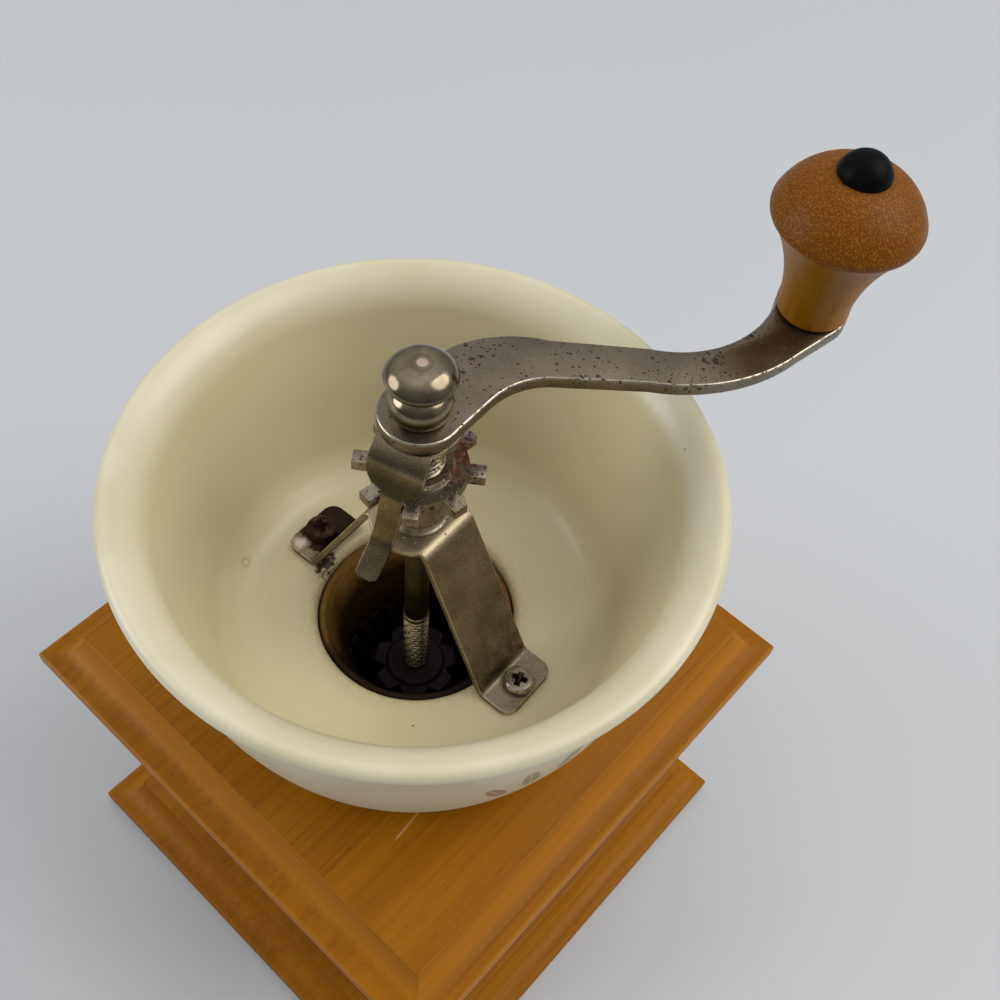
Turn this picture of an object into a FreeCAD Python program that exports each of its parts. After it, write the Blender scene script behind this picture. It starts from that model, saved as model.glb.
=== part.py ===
"""A hand cranked coffee grinder: moulded wooden box with a drawer, ceramic hopper bowl,
steel bracket, cranked drive with conical burrs. Millimetres, +Z up, origin in the middle of
the base's underside, drawer towards -Y."""

import FreeCAD, Part
import math
import os
import Sketcher

doc = FreeCAD.newDocument("Grinder")
sheet = doc.addObject("Spreadsheet::Sheet", "Sizes")
sub_parts = []


class Size:
    """A dimension that carries its value and the sheet expression that gives it."""

    def __init__(self, value, text):
        self.value = float(value)
        self.text = text

    def join(self, other, sign, value):
        return Size(value, f"({self.text} {sign} {size(other).text})")

    def __add__(self, other):
        return self.join(other, "+", self.value + size(other).value)

    def __sub__(self, other):
        return self.join(other, "-", self.value - size(other).value)

    def __mul__(self, other):
        return self.join(other, "*", self.value * size(other).value)

    def __truediv__(self, other):
        return self.join(other, "/", self.value / size(other).value)

    def __radd__(self, other):
        return size(other) + self

    def __rsub__(self, other):
        return size(other) - self

    def __rmul__(self, other):
        return size(other) * self

    def __neg__(self):
        return size(0) - self


def size(number):
    """Plain numbers become Sizes, so that both can stand in one expression."""
    return number if isinstance(number, Size) else Size(number, repr(float(number)))


def cosine(degrees):
    return Size(math.cos(math.radians(size(degrees).value)), f"cos({size(degrees).text})")


def sine(degrees):
    return Size(math.sin(math.radians(size(degrees).value)), f"sin({size(degrees).text})")


# Driving dimensions in millimetres and degrees, one row of the sheet each
driving = {
    # wooden box
    "base_side": 127,
    "top_side": 125,
    "plate_thick": 12,
    "cove": 7.5,
    "edge_round": 0.8,
    "box_side": 92,
    "box_height": 76,
    "wall": 8,
    "board_edge": 0.6,
    # drawer
    "drawer_height": 40,
    "drawer_side_height": 33,
    "drawer_board": 5,
    "drawer_floor": 3,
    "floor_lift": 1,
    "drawer_gap": 0.4,
    "drawer_slack": 2,
    "drawer_groove": 2,
    "pull_radius": 7.5,
    "pull_length": 10,
    "pull_neck": 4,
    "pull_level": 23,
    # ceramic hopper bowl
    "rim_radius": 61,
    "bowl_height": 63,
    "bowl_floor": 13,
    "foot_radius": 43,
    "foot_height": 3,
    "lip_width": 9.6,
    "lip_drop": 8.5,
    "lip_edge": 3.2,
    "body_step": 5.5,
    "body_bow": 100,
    "wall_bow": 110,
    "well_bow": 13,
    "lip_bow": 22,
    "well_radius": 38,
    "bowl_hole": 22.3,
    # throat through the wood
    "throat_radius": 16,
    "throat_mouth": 20.6,
    "throat_reveal": 0.8,
    # bracket that holds the drive's upper bush
    "strap_thick": 1.5,
    "bracket_rise": 38.5,
    "bracket_foot": 33.4,
    "bracket_knee": 25,
    "bracket_shoulder": 7.5,
    "foot_width": 15.5,
    "strap_width": 14.5,
    "bracket_disc": 9.5,
    "strap_bend": 1.5,
    "bracket_screw_at": 29.6,
    "bracket_turn": 3,
    # upright shaft, its thread and its square
    "shaft_radius": 2.675,
    "thread_radius": 3,
    "spindle_radius": 5,
    "square_side": 7,
    "running_gap": 0.07,
    "thread_top": 111.5,
    "journal_radius": 2.6,
    # bush, adjusting wheel and lock plate
    "bush_radius": 5.8,
    "bush_base": 7.4,
    "bush_height": 4.6,
    "bush_barrel": 4.4,
    "wheel_radius": 9.6,
    "lug_reach": 12.8,
    "lug_width": 3,
    "wheel_thick": 2.5,
    "wheel_hub": 6.8,
    "wheel_drop": 9,
    "spindle_length": 22,
    "lock_radius": 8,
    "tongue_root": 12,
    "tongue_width": 4.4,
    "tongue_heel": 13.9,
    "tongue_tip": 18.6,
    "tongue_drop": 27,
    "tongue_slope": 1.5,
    "tongue_turn": 194,
    # crank
    "crank_reach": 81,
    "crank_thick": 3,
    "eye_radius": 8,
    "crank_end": 7.2,
    "crank_turn": -26,
    # cap nut
    "cap_base": 5.6,
    "cap_lower": 6.3,
    "cap_neck": 4.3,
    "cap_upper": 6.7,
    "cap_height": 12.8,
    # knob
    "knob_height": 32.6,
    "knob_foot": 7.2,
    "knob_waist": 7.05,
    "knob_head": 14,
    "axle_radius": 2.5,
    "axle_head": 4,
    "stopper_radius": 4.9,
    "stopper_dome": 4.4,
    "rest_gap": 0.3,
    # burrs and the lower bearing
    "ring_radius": 20.5,
    "ring_height": 22,
    "ring_throat": 15.6,
    "ring_mouth": 13.8,
    "ear_reach": 34,
    "ear_width": 12,
    "ear_thick": 3,
    "cone_height": 22,
    "cone_top": 7.2,
    "cone_foot": 13.3,
    "cone_shoulder": 11.4,
    "burr_gap": 1.2,
    "ear_screw_at": 28.5,
    "bridge_depth": 28,
    "nut_flats": 10,
    "nut_height": 5,
    # screws
    "screw_head": 3.45,
    "screw_head_height": 2.3,
    "screw_radius": 1.75,
    "screw_fit": 0.05,
    "bracket_screw": 23,
    "ear_screw": 13,
    "base_screw": 24,
    "base_screw_at": 27,
    "screw_recess": 0.3,
}


class Given:
    """Hands out each driving dimension as a Size."""

    def __getattr__(self, name):
        return Size(driving[name], f"Sizes.{name}")


given = Given()
for row, (name, value) in enumerate(driving.items(), 1):
    sheet.set(f"A{row}", name)
    sheet.set(f"B{row}", str(value))
    sheet.setAlias(f"B{row}", name)

# levels above the table
box_top = given.plate_thick + given.box_height
deck = box_top + given.plate_thick
floor_level = deck + given.bowl_floor
bracket_level = floor_level + given.bracket_rise
bush_top = bracket_level + given.bush_height
wheel_level = bush_top + given.running_gap + given.wheel_drop
spindle_foot = bush_top + given.running_gap + 1
lock_level = spindle_foot + given.spindle_length
crank_level = lock_level + given.strap_thick
crank_top = crank_level + given.crank_thick
ring_foot = box_top - given.ring_height
cone_level = box_top - given.burr_gap - given.cone_height
bridge_level = box_top - given.ear_thick - given.strap_thick - given.bridge_depth
half_box = given.box_side / 2
drawer_half = half_box - given.wall - given.drawer_gap


def at(x, y, radius=None):
    """A corner of an outline, sharp or rounded with a radius."""
    return {"x": size(x), "y": size(y), "radius": None if radius is None else size(radius), "bow": None}


def bow(x, y, radius, left):
    """A corner reached by an arc whose centre lies left or right of the way there."""
    return {"x": size(x), "y": size(y), "radius": None, "bow": (size(radius), left)}


def vector(corner):
    return FreeCAD.Vector(corner["x"].value, corner["y"].value, 0)


def fix_point(sketch, geometry, point, corner):
    """Ties one point of a sketch to the place that the sheet gives."""
    for kind, length in (("DistanceX", corner["x"]), ("DistanceY", corner["y"])):
        index = sketch.addConstraint(Sketcher.Constraint(kind, -1, 1, geometry, point, length.value))
        bind(sketch, f"Constraints[{index}]", length)


def bind(thing, name, length):
    """Ties a property to the sheet, or sets it where the number is a plain one."""
    if "Sizes." in length.text:
        thing.setExpression(name, length.text)
    elif "." not in name and "[" not in name:
        setattr(thing, name, length.value)


def arc_between(start, end, radius, left):
    """The shorter arc between two points, with its centre on the given side of the way."""
    chord = end - start
    side = FreeCAD.Vector(-chord.y, chord.x, 0).normalize() * (1 if left else -1)
    rise = math.sqrt(max(radius ** 2 - (chord.Length / 2) ** 2, 0))
    centre = (start + end) * 0.5 + side * rise
    return Part.Arc(start, centre - side * radius, end)


def add_span(sketch, curve, start):
    """Adds a line or an arc, and says which of its ends come first and last."""
    number = sketch.addGeometry(curve)
    forward = sketch.getPoint(number, 1).distanceToPoint(start) < 1e-6
    return (number, 1, 2) if forward else (number, 2, 1)


def cut_back(corner, neighbour, opposite, radius):
    """Where a rounding of the corner starts on the way to its neighbour."""
    here = (vector(neighbour) - vector(corner)).normalize()
    there = (vector(opposite) - vector(corner)).normalize()
    return vector(corner) + here * (radius / math.tan(here.getAngle(there) / 2))


def draw(sketch, corners, closed=True):
    """Draws an outline through corners, with every corner and radius tied to the sheet."""
    count = len(corners)
    entries, exits = [], []
    for index, corner in enumerate(corners):
        before, after = corners[index - 1], corners[(index + 1) % count]
        if corner["radius"] is None:
            entries.append(vector(corner))
            exits.append(vector(corner))
        else:
            entries.append(cut_back(corner, before, after, corner["radius"].value))
            exits.append(cut_back(corner, after, before, corner["radius"].value))
    spans = []
    for index in range(count if closed else count - 1):
        start, end = exits[index], entries[(index + 1) % count]
        bowed = corners[(index + 1) % count]["bow"]
        if bowed:
            span = add_span(sketch, arc_between(start, end, bowed[0].value, bowed[1]), start)
            tie_radius(sketch, span[0], bowed[0])
        else:
            span = add_span(sketch, Part.LineSegment(start, end), start)
        spans.append(span)
    for index, corner in enumerate(corners):
        before = spans[index - 1] if closed or index > 0 else None
        after = spans[index] if closed or index < count - 1 else None
        if corner["radius"] is not None:
            round_corner(sketch, before, after, corner, entries[index], exits[index])
            continue
        if before and after:
            sketch.addConstraint(
                Sketcher.Constraint("Coincident", before[0], before[2], after[0], after[1]))
        held = (after[0], after[1]) if after else (before[0], before[2])
        fix_point(sketch, held[0], held[1], corner)


def round_corner(sketch, before, after, corner, entry, leave):
    """Rounds a corner with an arc that touches both sides; the corner stays as a point."""
    radius = corner["radius"]
    inward = ((entry + leave) * 0.5 - vector(corner)).normalize()
    reach = (entry - vector(corner)).Length
    middle = vector(corner) + inward * (math.hypot(reach, radius.value) - radius.value)
    arc = add_span(sketch, Part.Arc(entry, middle, leave), entry)
    sketch.addConstraint(Sketcher.Constraint("Tangent", before[0], before[2], arc[0], arc[1]))
    sketch.addConstraint(Sketcher.Constraint("Tangent", arc[0], arc[2], after[0], after[1]))
    tie_radius(sketch, arc[0], radius)
    point = sketch.addGeometry(Part.Point(vector(corner)), True)
    sketch.addConstraint(Sketcher.Constraint("PointOnObject", point, 1, before[0]))
    sketch.addConstraint(Sketcher.Constraint("PointOnObject", point, 1, after[0]))
    fix_point(sketch, point, 1, corner)


def tie_radius(sketch, number, radius):
    tie = sketch.addConstraint(Sketcher.Constraint("Radius", number, radius.value))
    bind(sketch, f"Constraints[{tie}]", radius)


def plane_of(body, role):
    return next(item for item in body.Origin.OriginFeatures if item.Role == role)


def new_body(label, x=0, y=0, z=0, turn=0):
    """A sub-part: its own body, with its label and its place tied to the sheet."""
    body = doc.addObject("PartDesign::Body", label)
    body.Label = label
    body.Placement = FreeCAD.Placement(
        FreeCAD.Vector(size(x).value, size(y).value, size(z).value),
        FreeCAD.Rotation(FreeCAD.Vector(0, 0, 1), size(turn).value))
    for name, length in (("x", x), ("y", y), ("z", z)):
        bind(body, f"Placement.Base.{name}", size(length))
    bind(body, "Placement.Rotation.Angle", size(turn))
    sub_parts.append(body)
    return body


def new_sketch(body, label, role, lift=0, shift=0):
    """A sketch on one of the body's own planes, lifted off it and shifted along it."""
    sketch = body.newObject("Sketcher::SketchObject", f"{body.Label}_{label}")
    sketch.AttachmentSupport = [(plane_of(body, role), "")]
    sketch.MapMode = "FlatFace"
    sketch.AttachmentOffset = FreeCAD.Placement(
        FreeCAD.Vector(size(shift).value, 0, size(lift).value), FreeCAD.Rotation())
    bind(sketch, "AttachmentOffset.Base.x", size(shift))
    bind(sketch, "AttachmentOffset.Base.z", size(lift))
    return sketch


def circle(sketch, x, y, radius):
    number = sketch.addGeometry(Part.Circle(
        FreeCAD.Vector(size(x).value, size(y).value, 0), FreeCAD.Vector(0, 0, 1), size(radius).value))
    fix_point(sketch, number, 3, at(x, y))
    tie_radius(sketch, number, size(radius))


def rectangle(sketch, x_low, y_low, x_high, y_high, radius=None):
    draw(sketch, [at(x_low, y_low, radius), at(x_high, y_low, radius),
                  at(x_high, y_high, radius), at(x_low, y_high, radius)])


def pad(body, sketch, length, middle=False, reverse=False):
    feature = body.newObject("PartDesign::Pad", f"{sketch.Label}_pad")
    feature.Profile = sketch
    feature.Length = size(length).value
    bind(feature, "Length", size(length))
    feature.Midplane = middle
    feature.Reversed = reverse
    return feature


def cut_through(body, sketch):
    feature = body.newObject("PartDesign::Pocket", f"{sketch.Label}_cut")
    feature.Profile = sketch
    feature.Type = "ThroughAll"
    feature.Midplane = True
    return feature


def cut(body, sketch, depth, reverse=False):
    feature = body.newObject("PartDesign::Pocket", f"{sketch.Label}_cut")
    feature.Profile = sketch
    feature.Length = size(depth).value
    bind(feature, "Length", size(depth))
    feature.Reversed = reverse
    return feature


def turn(body, sketch):
    feature = body.newObject("PartDesign::Revolution", f"{sketch.Label}_turned")
    feature.Profile = sketch
    feature.ReferenceAxis = (sketch, ["V_Axis"])
    feature.Angle = 360
    return feature


def repeat(body, features, count):
    """Copies features round the body's upright axis."""
    pattern = body.newObject("PartDesign::PolarPattern", f"{features[0].Label}_pattern")
    pattern.Originals = features
    pattern.Axis = (plane_of(body, "Z_Axis"), [""])
    pattern.Angle = 360
    pattern.Occurrences = count
    body.Tip = pattern
    return pattern


def turned(label, corners, role="XZ_Plane", **place):
    """A body turned from an outline, upright in its XZ plane or lying in its XY plane."""
    body = new_body(label, **place)
    sketch = new_sketch(body, "outline", role)
    draw(sketch, corners)
    turn(body, sketch)
    return body


def drill(body, label, places, radius):
    """Round holes right through, along the body's Z."""
    sketch = new_sketch(body, label, "XY_Plane")
    for x, y in places:
        circle(sketch, x, y, radius)
    return cut_through(body, sketch)


def across(reach, angle):
    """Two opposite places at one distance from the drive."""
    x, y = reach * cosine(angle), reach * sine(angle)
    return [(x, y), (-x, -y)]


def moulded_plate(label, side, level):
    """A square board with rounded lips and a cove all round, mitred at its corners."""
    body = new_body(label, z=level)
    edge = side / 2
    land = edge - given.edge_round
    lip = given.plate_thick - given.cove

    def profile():
        right = [at(land, 0), bow(edge, given.edge_round, given.edge_round, True),
                 at(edge, lip - given.edge_round), bow(land, lip, given.edge_round, True),
                 bow(land - given.cove, given.plate_thick, given.cove, False)]
        left = [at(given.cove - land, given.plate_thick), bow(-land, lip, given.cove, False),
                bow(-edge, lip - given.edge_round, given.edge_round, True),
                at(-edge, given.edge_round), bow(-land, 0, given.edge_round, True)]
        return right + left

    front = new_sketch(body, "front", "XZ_Plane")
    draw(front, profile())
    pad(body, front, side, middle=True)
    flank = new_sketch(body, "flank", "YZ_Plane")
    draw(flank, profile())
    rectangle(flank, -side, -given.plate_thick, side, given.plate_thick * 2)
    cut_through(body, flank)
    return body


def build_box():
    """The moulded base and deck, and the four boards glued between them."""
    screw_x = half_box - given.wall / 2
    base = moulded_plate("bottom_plate", given.base_side, 0)
    corners = [(x, y) for x in (screw_x, -screw_x) for y in (given.base_screw_at, -given.base_screw_at)]
    drill(base, "screw_holes", corners, given.screw_radius + given.screw_fit)
    sinks = new_sketch(base, "countersinks", "XY_Plane")
    for x, y in corners:
        circle(sinks, x, y, given.screw_head + given.screw_fit)
    sink = cut(base, sinks, given.screw_head_height, reverse=True)
    sink.TaperAngle = 40

    top = moulded_plate("top_plate", given.top_side, box_top)
    drill(top, "throat", [(0, 0)], given.throat_radius)
    drill(top, "bracket_pilots", across(given.bracket_screw_at, given.bracket_turn + 90),
          given.screw_radius + given.screw_fit)
    ears = new_sketch(top, "ear_pilots", "XY_Plane")
    for x in (given.ear_screw_at, -given.ear_screw_at):
        circle(ears, x, 0, given.screw_radius + given.screw_fit)
    cut(top, ears, given.plate_thick - 2, reverse=True)

    for label, sign in (("left_wall", -1), ("right_wall", 1)):
        board = new_body(label, x=screw_x * sign, z=given.plate_thick)
        plan = new_sketch(board, "plan", "XY_Plane")
        rectangle(plan, -given.wall / 2, -half_box, given.wall / 2, half_box, given.board_edge)
        pad(board, plan, given.box_height)
        pilots = new_sketch(board, "pilots", "XY_Plane")
        for y in (given.base_screw_at, -given.base_screw_at):
            circle(pilots, 0, y, given.screw_radius + given.screw_fit)
        cut(board, pilots, given.base_screw - given.plate_thick + 2, reverse=True)

    back = new_body("back_wall", y=half_box - given.wall / 2, z=given.plate_thick)
    plan = new_sketch(back, "plan", "XY_Plane")
    rectangle(plan, given.wall - half_box, -given.wall / 2, half_box - given.wall, given.wall / 2)
    pad(back, plan, given.box_height)

    rail_foot = given.plate_thick + given.drawer_height + given.drawer_gap * 2
    rail = new_body("front_rail", y=given.wall / 2 - half_box, z=rail_foot)
    plan = new_sketch(rail, "plan", "XY_Plane")
    rectangle(plan, given.wall - half_box, -given.wall / 2, half_box - given.wall, given.wall / 2)
    pad(rail, plan, box_top - rail_foot)


def build_bowl():
    """The ceramic hopper: foot ring, curved body, groove, flared lip and flat holed floor."""
    lip_foot = given.bowl_height - given.lip_edge
    body_radius = given.rim_radius - given.body_step
    body = turned("hopper_bowl", [
        at(given.bowl_hole, given.bowl_floor - 6),
        at(given.foot_radius - 6, given.bowl_floor - 6),
        at(given.foot_radius - 5, 0),
        at(given.foot_radius - 1, 0),
        at(given.foot_radius, 1),
        at(given.foot_radius, given.foot_height),
        bow(body_radius, given.bowl_height - 12, given.body_bow, True),
        at(body_radius, lip_foot - 2.4),
        at(given.rim_radius - 1.2, lip_foot),
        at(given.rim_radius, lip_foot + 1.2),
        at(given.rim_radius, given.bowl_height - 1.8),
        bow(given.rim_radius - 2, given.bowl_height, 2, True),
        bow(given.rim_radius - given.lip_width, given.bowl_height - given.lip_drop, given.lip_bow, True),
        bow(given.well_radius + 6.5, given.bowl_floor + 12, given.wall_bow, False),
        bow(given.well_radius, given.bowl_floor + 0.6, given.well_bow, False),
        at(given.well_radius - 1.5, given.bowl_floor),
        at(given.bowl_hole + 0.8, given.bowl_floor),
        at(given.bowl_hole, given.bowl_floor - 0.8),
    ], z=deck)
    drill(body, "screw_holes", across(given.bracket_screw_at, given.bracket_turn + 90),
          given.screw_radius + 0.6)

    ring_top = given.bowl_floor - given.throat_reveal
    turned("throat_ring", [
        at(given.throat_radius, 0), at(given.bowl_hole - given.drawer_gap, 0),
        at(given.bowl_hole - given.drawer_gap, ring_top - 0.5),
        at(given.bowl_hole - given.drawer_gap - 0.5, ring_top), at(given.throat_mouth, ring_top),
    ], z=deck)


def bent_strap(label, route, width, role, **place):
    """A strip of sheet steel swept along a bent route, which starts level at one end."""
    body = new_body(label, **place)
    path = new_sketch(body, "route", role)
    draw(path, route, closed=False)
    start = route[0]
    section_role, lift = ("XZ_Plane", -start["x"]) if role == "YZ_Plane" else ("YZ_Plane", start["x"])
    section = new_sketch(body, "section", section_role, lift=lift)
    half = given.strap_thick / 2
    rectangle(section, -width / 2, start["y"] - half, width / 2, start["y"] + half)
    pipe = body.newObject("PartDesign::AdditivePipe", f"{label}_strip")
    pipe.Profile = section
    pipe.Spine = (path, [])
    return body


def build_bracket():
    """The bridge over the throat, its screws and the bush riveted into it."""
    half_strap = given.strap_thick / 2
    body = bent_strap("bracket", [
        at(-given.bracket_foot, half_strap),
        at(-given.bracket_knee, half_strap, given.strap_bend),
        at(-given.bracket_shoulder, given.bracket_rise - half_strap, given.strap_bend),
        at(given.bracket_shoulder, given.bracket_rise - half_strap, given.strap_bend),
        at(given.bracket_knee, half_strap, given.strap_bend),
        at(given.bracket_foot, half_strap),
    ], given.bracket_disc * 2 + 2, "YZ_Plane", z=floor_level, turn=given.bracket_turn)

    plan = new_sketch(body, "plan", "XY_Plane")
    side = given.foot_width / 2
    waist = given.strap_width / 2
    right = [at(side, -given.bracket_knee), at(waist, -given.bracket_shoulder),
             bow(waist, given.bracket_shoulder, given.bracket_disc, True), at(side, given.bracket_knee)]
    left = [at(-side, given.bracket_knee), at(-waist, given.bracket_shoulder),
            bow(-waist, -given.bracket_shoulder, given.bracket_disc, True),
            at(-side, -given.bracket_knee)]
    ends = [at(side, given.bracket_foot, 3), at(-side, given.bracket_foot, 3)]
    starts = [at(-side, -given.bracket_foot, 3), at(side, -given.bracket_foot, 3)]
    draw(plan, starts + right + ends + left)
    around = given.bracket_foot * 2
    rectangle(plan, -around, -around, around, around)
    cut_through(body, plan)
    drill(body, "screw_holes", [(0, given.bracket_screw_at), (0, -given.bracket_screw_at)],
          given.screw_radius + 0.3)
    drill(body, "bush_hole", [(0, 0)], given.bush_barrel + given.screw_fit)

    bore = given.shaft_radius + given.running_gap
    turned("bracket_bush", [
        at(bore, -given.strap_thick - 1.4), at(given.bush_barrel, -given.strap_thick - 1.4),
        at(given.bush_barrel, 0),
        at(given.bush_base, 0), at(given.bush_base, 0.8), at(given.bush_radius, 2.2),
        at(given.bush_radius, given.bush_height - 0.6),
        at(given.bush_radius - 0.6, given.bush_height), at(bore, given.bush_height),
    ], z=bracket_level)


def screw_outline(length, tip=5, head_up=True):
    """Half of a pan head wood screw with its head seated at zero."""
    way = 1 if head_up else -1
    top = given.screw_head_height * way
    return [at(0, top), at(given.screw_head * 0.55, top), at(given.screw_head - 0.5, top * 0.7),
            at(given.screw_head, top * 0.3), at(given.screw_head, 0), at(given.screw_radius, 0),
            at(given.screw_radius, (tip - length) * way), at(0, -length * way)]


def build_fixings():
    """The wood screws: through the bracket's feet, the burr ring's ears and the base."""
    for side, (x, y) in zip(("rear", "front"), across(given.bracket_screw_at, given.bracket_turn + 90)):
        turned(f"bracket_screw_{side}", screw_outline(given.bracket_screw), x=x, y=y,
               z=floor_level + given.strap_thick)
    for side, x in (("left", -given.ear_screw_at), ("right", given.ear_screw_at)):
        turned(f"burr_screw_{side}", screw_outline(given.ear_screw, head_up=False), x=x,
               z=box_top - given.ear_thick - given.strap_thick)
    for side, x in (("left", given.wall / 2 - half_box), ("right", half_box - given.wall / 2)):
        for end, y in (("front", -given.base_screw_at), ("rear", given.base_screw_at)):
            turned(f"base_screw_{end}_{side}", [
                at(0, given.screw_recess), at(given.screw_head, given.screw_recess),
                at(given.screw_radius, given.screw_head_height),
                at(given.screw_radius, given.base_screw - 5), at(0, given.base_screw),
            ], x=x, y=y)


def notch(inner, outer, spread, angle, tip_inward):
    """A triangle in plan, with its tip on one radius and its base on the other."""
    base, tip = (outer, inner) if tip_inward else (inner, outer)
    corners = [(base, angle - spread), (tip, angle), (base, angle + spread)]
    return [at(reach * cosine(turned_by), reach * sine(turned_by)) for reach, turned_by in corners]


def flutes(body, label, count, low, high):
    """Slanting grooves lofted between a notch at a lower level and one at an upper level."""
    sketches = []
    for name, (level, corners) in (("low", low), ("high", high)):
        sketch = new_sketch(body, f"{label}_{name}", "XY_Plane", lift=level)
        draw(sketch, corners)
        sketches.append(sketch)
    groove = body.newObject("PartDesign::SubtractiveLoft", f"{body.Label}_{label}")
    groove.Profile = sketches[0]
    groove.Sections = [sketches[1]]
    groove.Ruled = True
    repeat(body, [groove], count)


def build_burrs():
    """The fixed burr ring with its ears, the turning cone, its nut and the bridge below."""
    ring = turned("outer_burr", [
        at(given.ring_mouth, 0), at(given.ring_radius - 1, 0), at(given.ring_radius, 1),
        at(given.ring_radius, given.ring_height),
        at(given.ring_throat, given.ring_height),
    ], z=ring_foot)
    ears = new_sketch(ring, "ears", "XY_Plane", lift=given.ring_height - given.ear_thick)
    half = given.ear_width / 2
    for way in (1, -1):
        inner, reach = (given.ring_radius - 3) * way, given.ear_reach * way
        draw(ears, [at(inner, -half * way), at(reach, -half * way, 4), at(reach, half * way, 4),
                    at(inner, half * way)])
    pad(ring, ears, given.ear_thick)
    drill(ring, "ear_holes", [(given.ear_screw_at, 0), (-given.ear_screw_at, 0)],
          given.screw_radius + 0.2)
    pitch = 360 / 24
    flutes(ring, "teeth", 24,
           (-0.1, notch(given.ring_mouth - 1, given.ring_mouth + 1, pitch * 0.44, 0, False)),
           (given.ring_height + 0.1,
            notch(given.ring_throat - 1, given.ring_throat + 1.6, pitch * 0.44, 16, False)))

    cone = turned("inner_burr", [
        at(given.thread_radius + given.screw_fit, 0), at(given.cone_foot, 0), at(given.cone_foot, 1),
        at(given.cone_foot - 0.5, 7),
        at(given.cone_shoulder, given.cone_height - 2), at(given.cone_shoulder - 1.6, given.cone_height),
        at(given.cone_top, given.cone_height), at(given.cone_top - 0.6, given.cone_height + 0.8),
        at(given.thread_radius + given.screw_fit, given.cone_height + 0.8),
    ], z=cone_level)
    flutes(cone, "wings", 7,
           (size(6), notch(given.cone_foot - 1.6, given.cone_foot + 3, 15, 0, True)),
           (given.cone_height + 0.1, notch(given.cone_top + 0.2, given.cone_foot + 3, 24, 42, True)))
    fine = 360 / 28
    flutes(cone, "teeth", 28,
           (-0.1, notch(given.cone_foot - 1, given.cone_foot + 1, fine * 0.5, 0, True)),
           (size(8), notch(given.cone_foot - 1.2, given.cone_foot + 1, fine * 0.5, 9, True)))

    nut = new_body("burr_nut", z=cone_level - given.nut_height)
    plan = new_sketch(nut, "plan", "XY_Plane")
    across = given.nut_flats / cosine(30) / 2
    draw(plan, [at(across * cosine(60 * step), across * sine(60 * step)) for step in range(6)])
    pad(nut, plan, given.nut_height)
    drill(nut, "bore", [(0, 0)], given.thread_radius + given.screw_fit)

    leg = given.ring_radius + given.strap_thick / 2 + 1.2
    middle = given.strap_thick / 2
    bridge = bent_strap("lower_bridge", [
        at(-given.ear_reach, given.bridge_depth + middle),
        at(-leg, given.bridge_depth + middle, given.strap_bend),
        at(-leg, middle, given.strap_bend), at(leg, middle, given.strap_bend),
        at(leg, given.bridge_depth + middle, given.strap_bend),
        at(given.ear_reach, given.bridge_depth + middle),
    ], given.ear_width, "XZ_Plane", z=bridge_level)
    drill(bridge, "screw_holes", [(given.ear_screw_at, 0), (-given.ear_screw_at, 0)],
          given.screw_radius + 0.2)
    barrel = given.journal_radius + 1.4
    drill(bridge, "bush_hole", [(0, 0)], barrel + given.screw_fit)
    bore = given.journal_radius + given.running_gap
    turned("lower_bush", [
        at(bore, -given.strap_thick - 0.8), at(barrel, -given.strap_thick - 0.8), at(barrel, 0),
        at(barrel + 1.6, 0), at(barrel + 1.6, 1.2), at(bore, 1.2),
    ], z=bridge_level + given.strap_thick)


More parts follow.
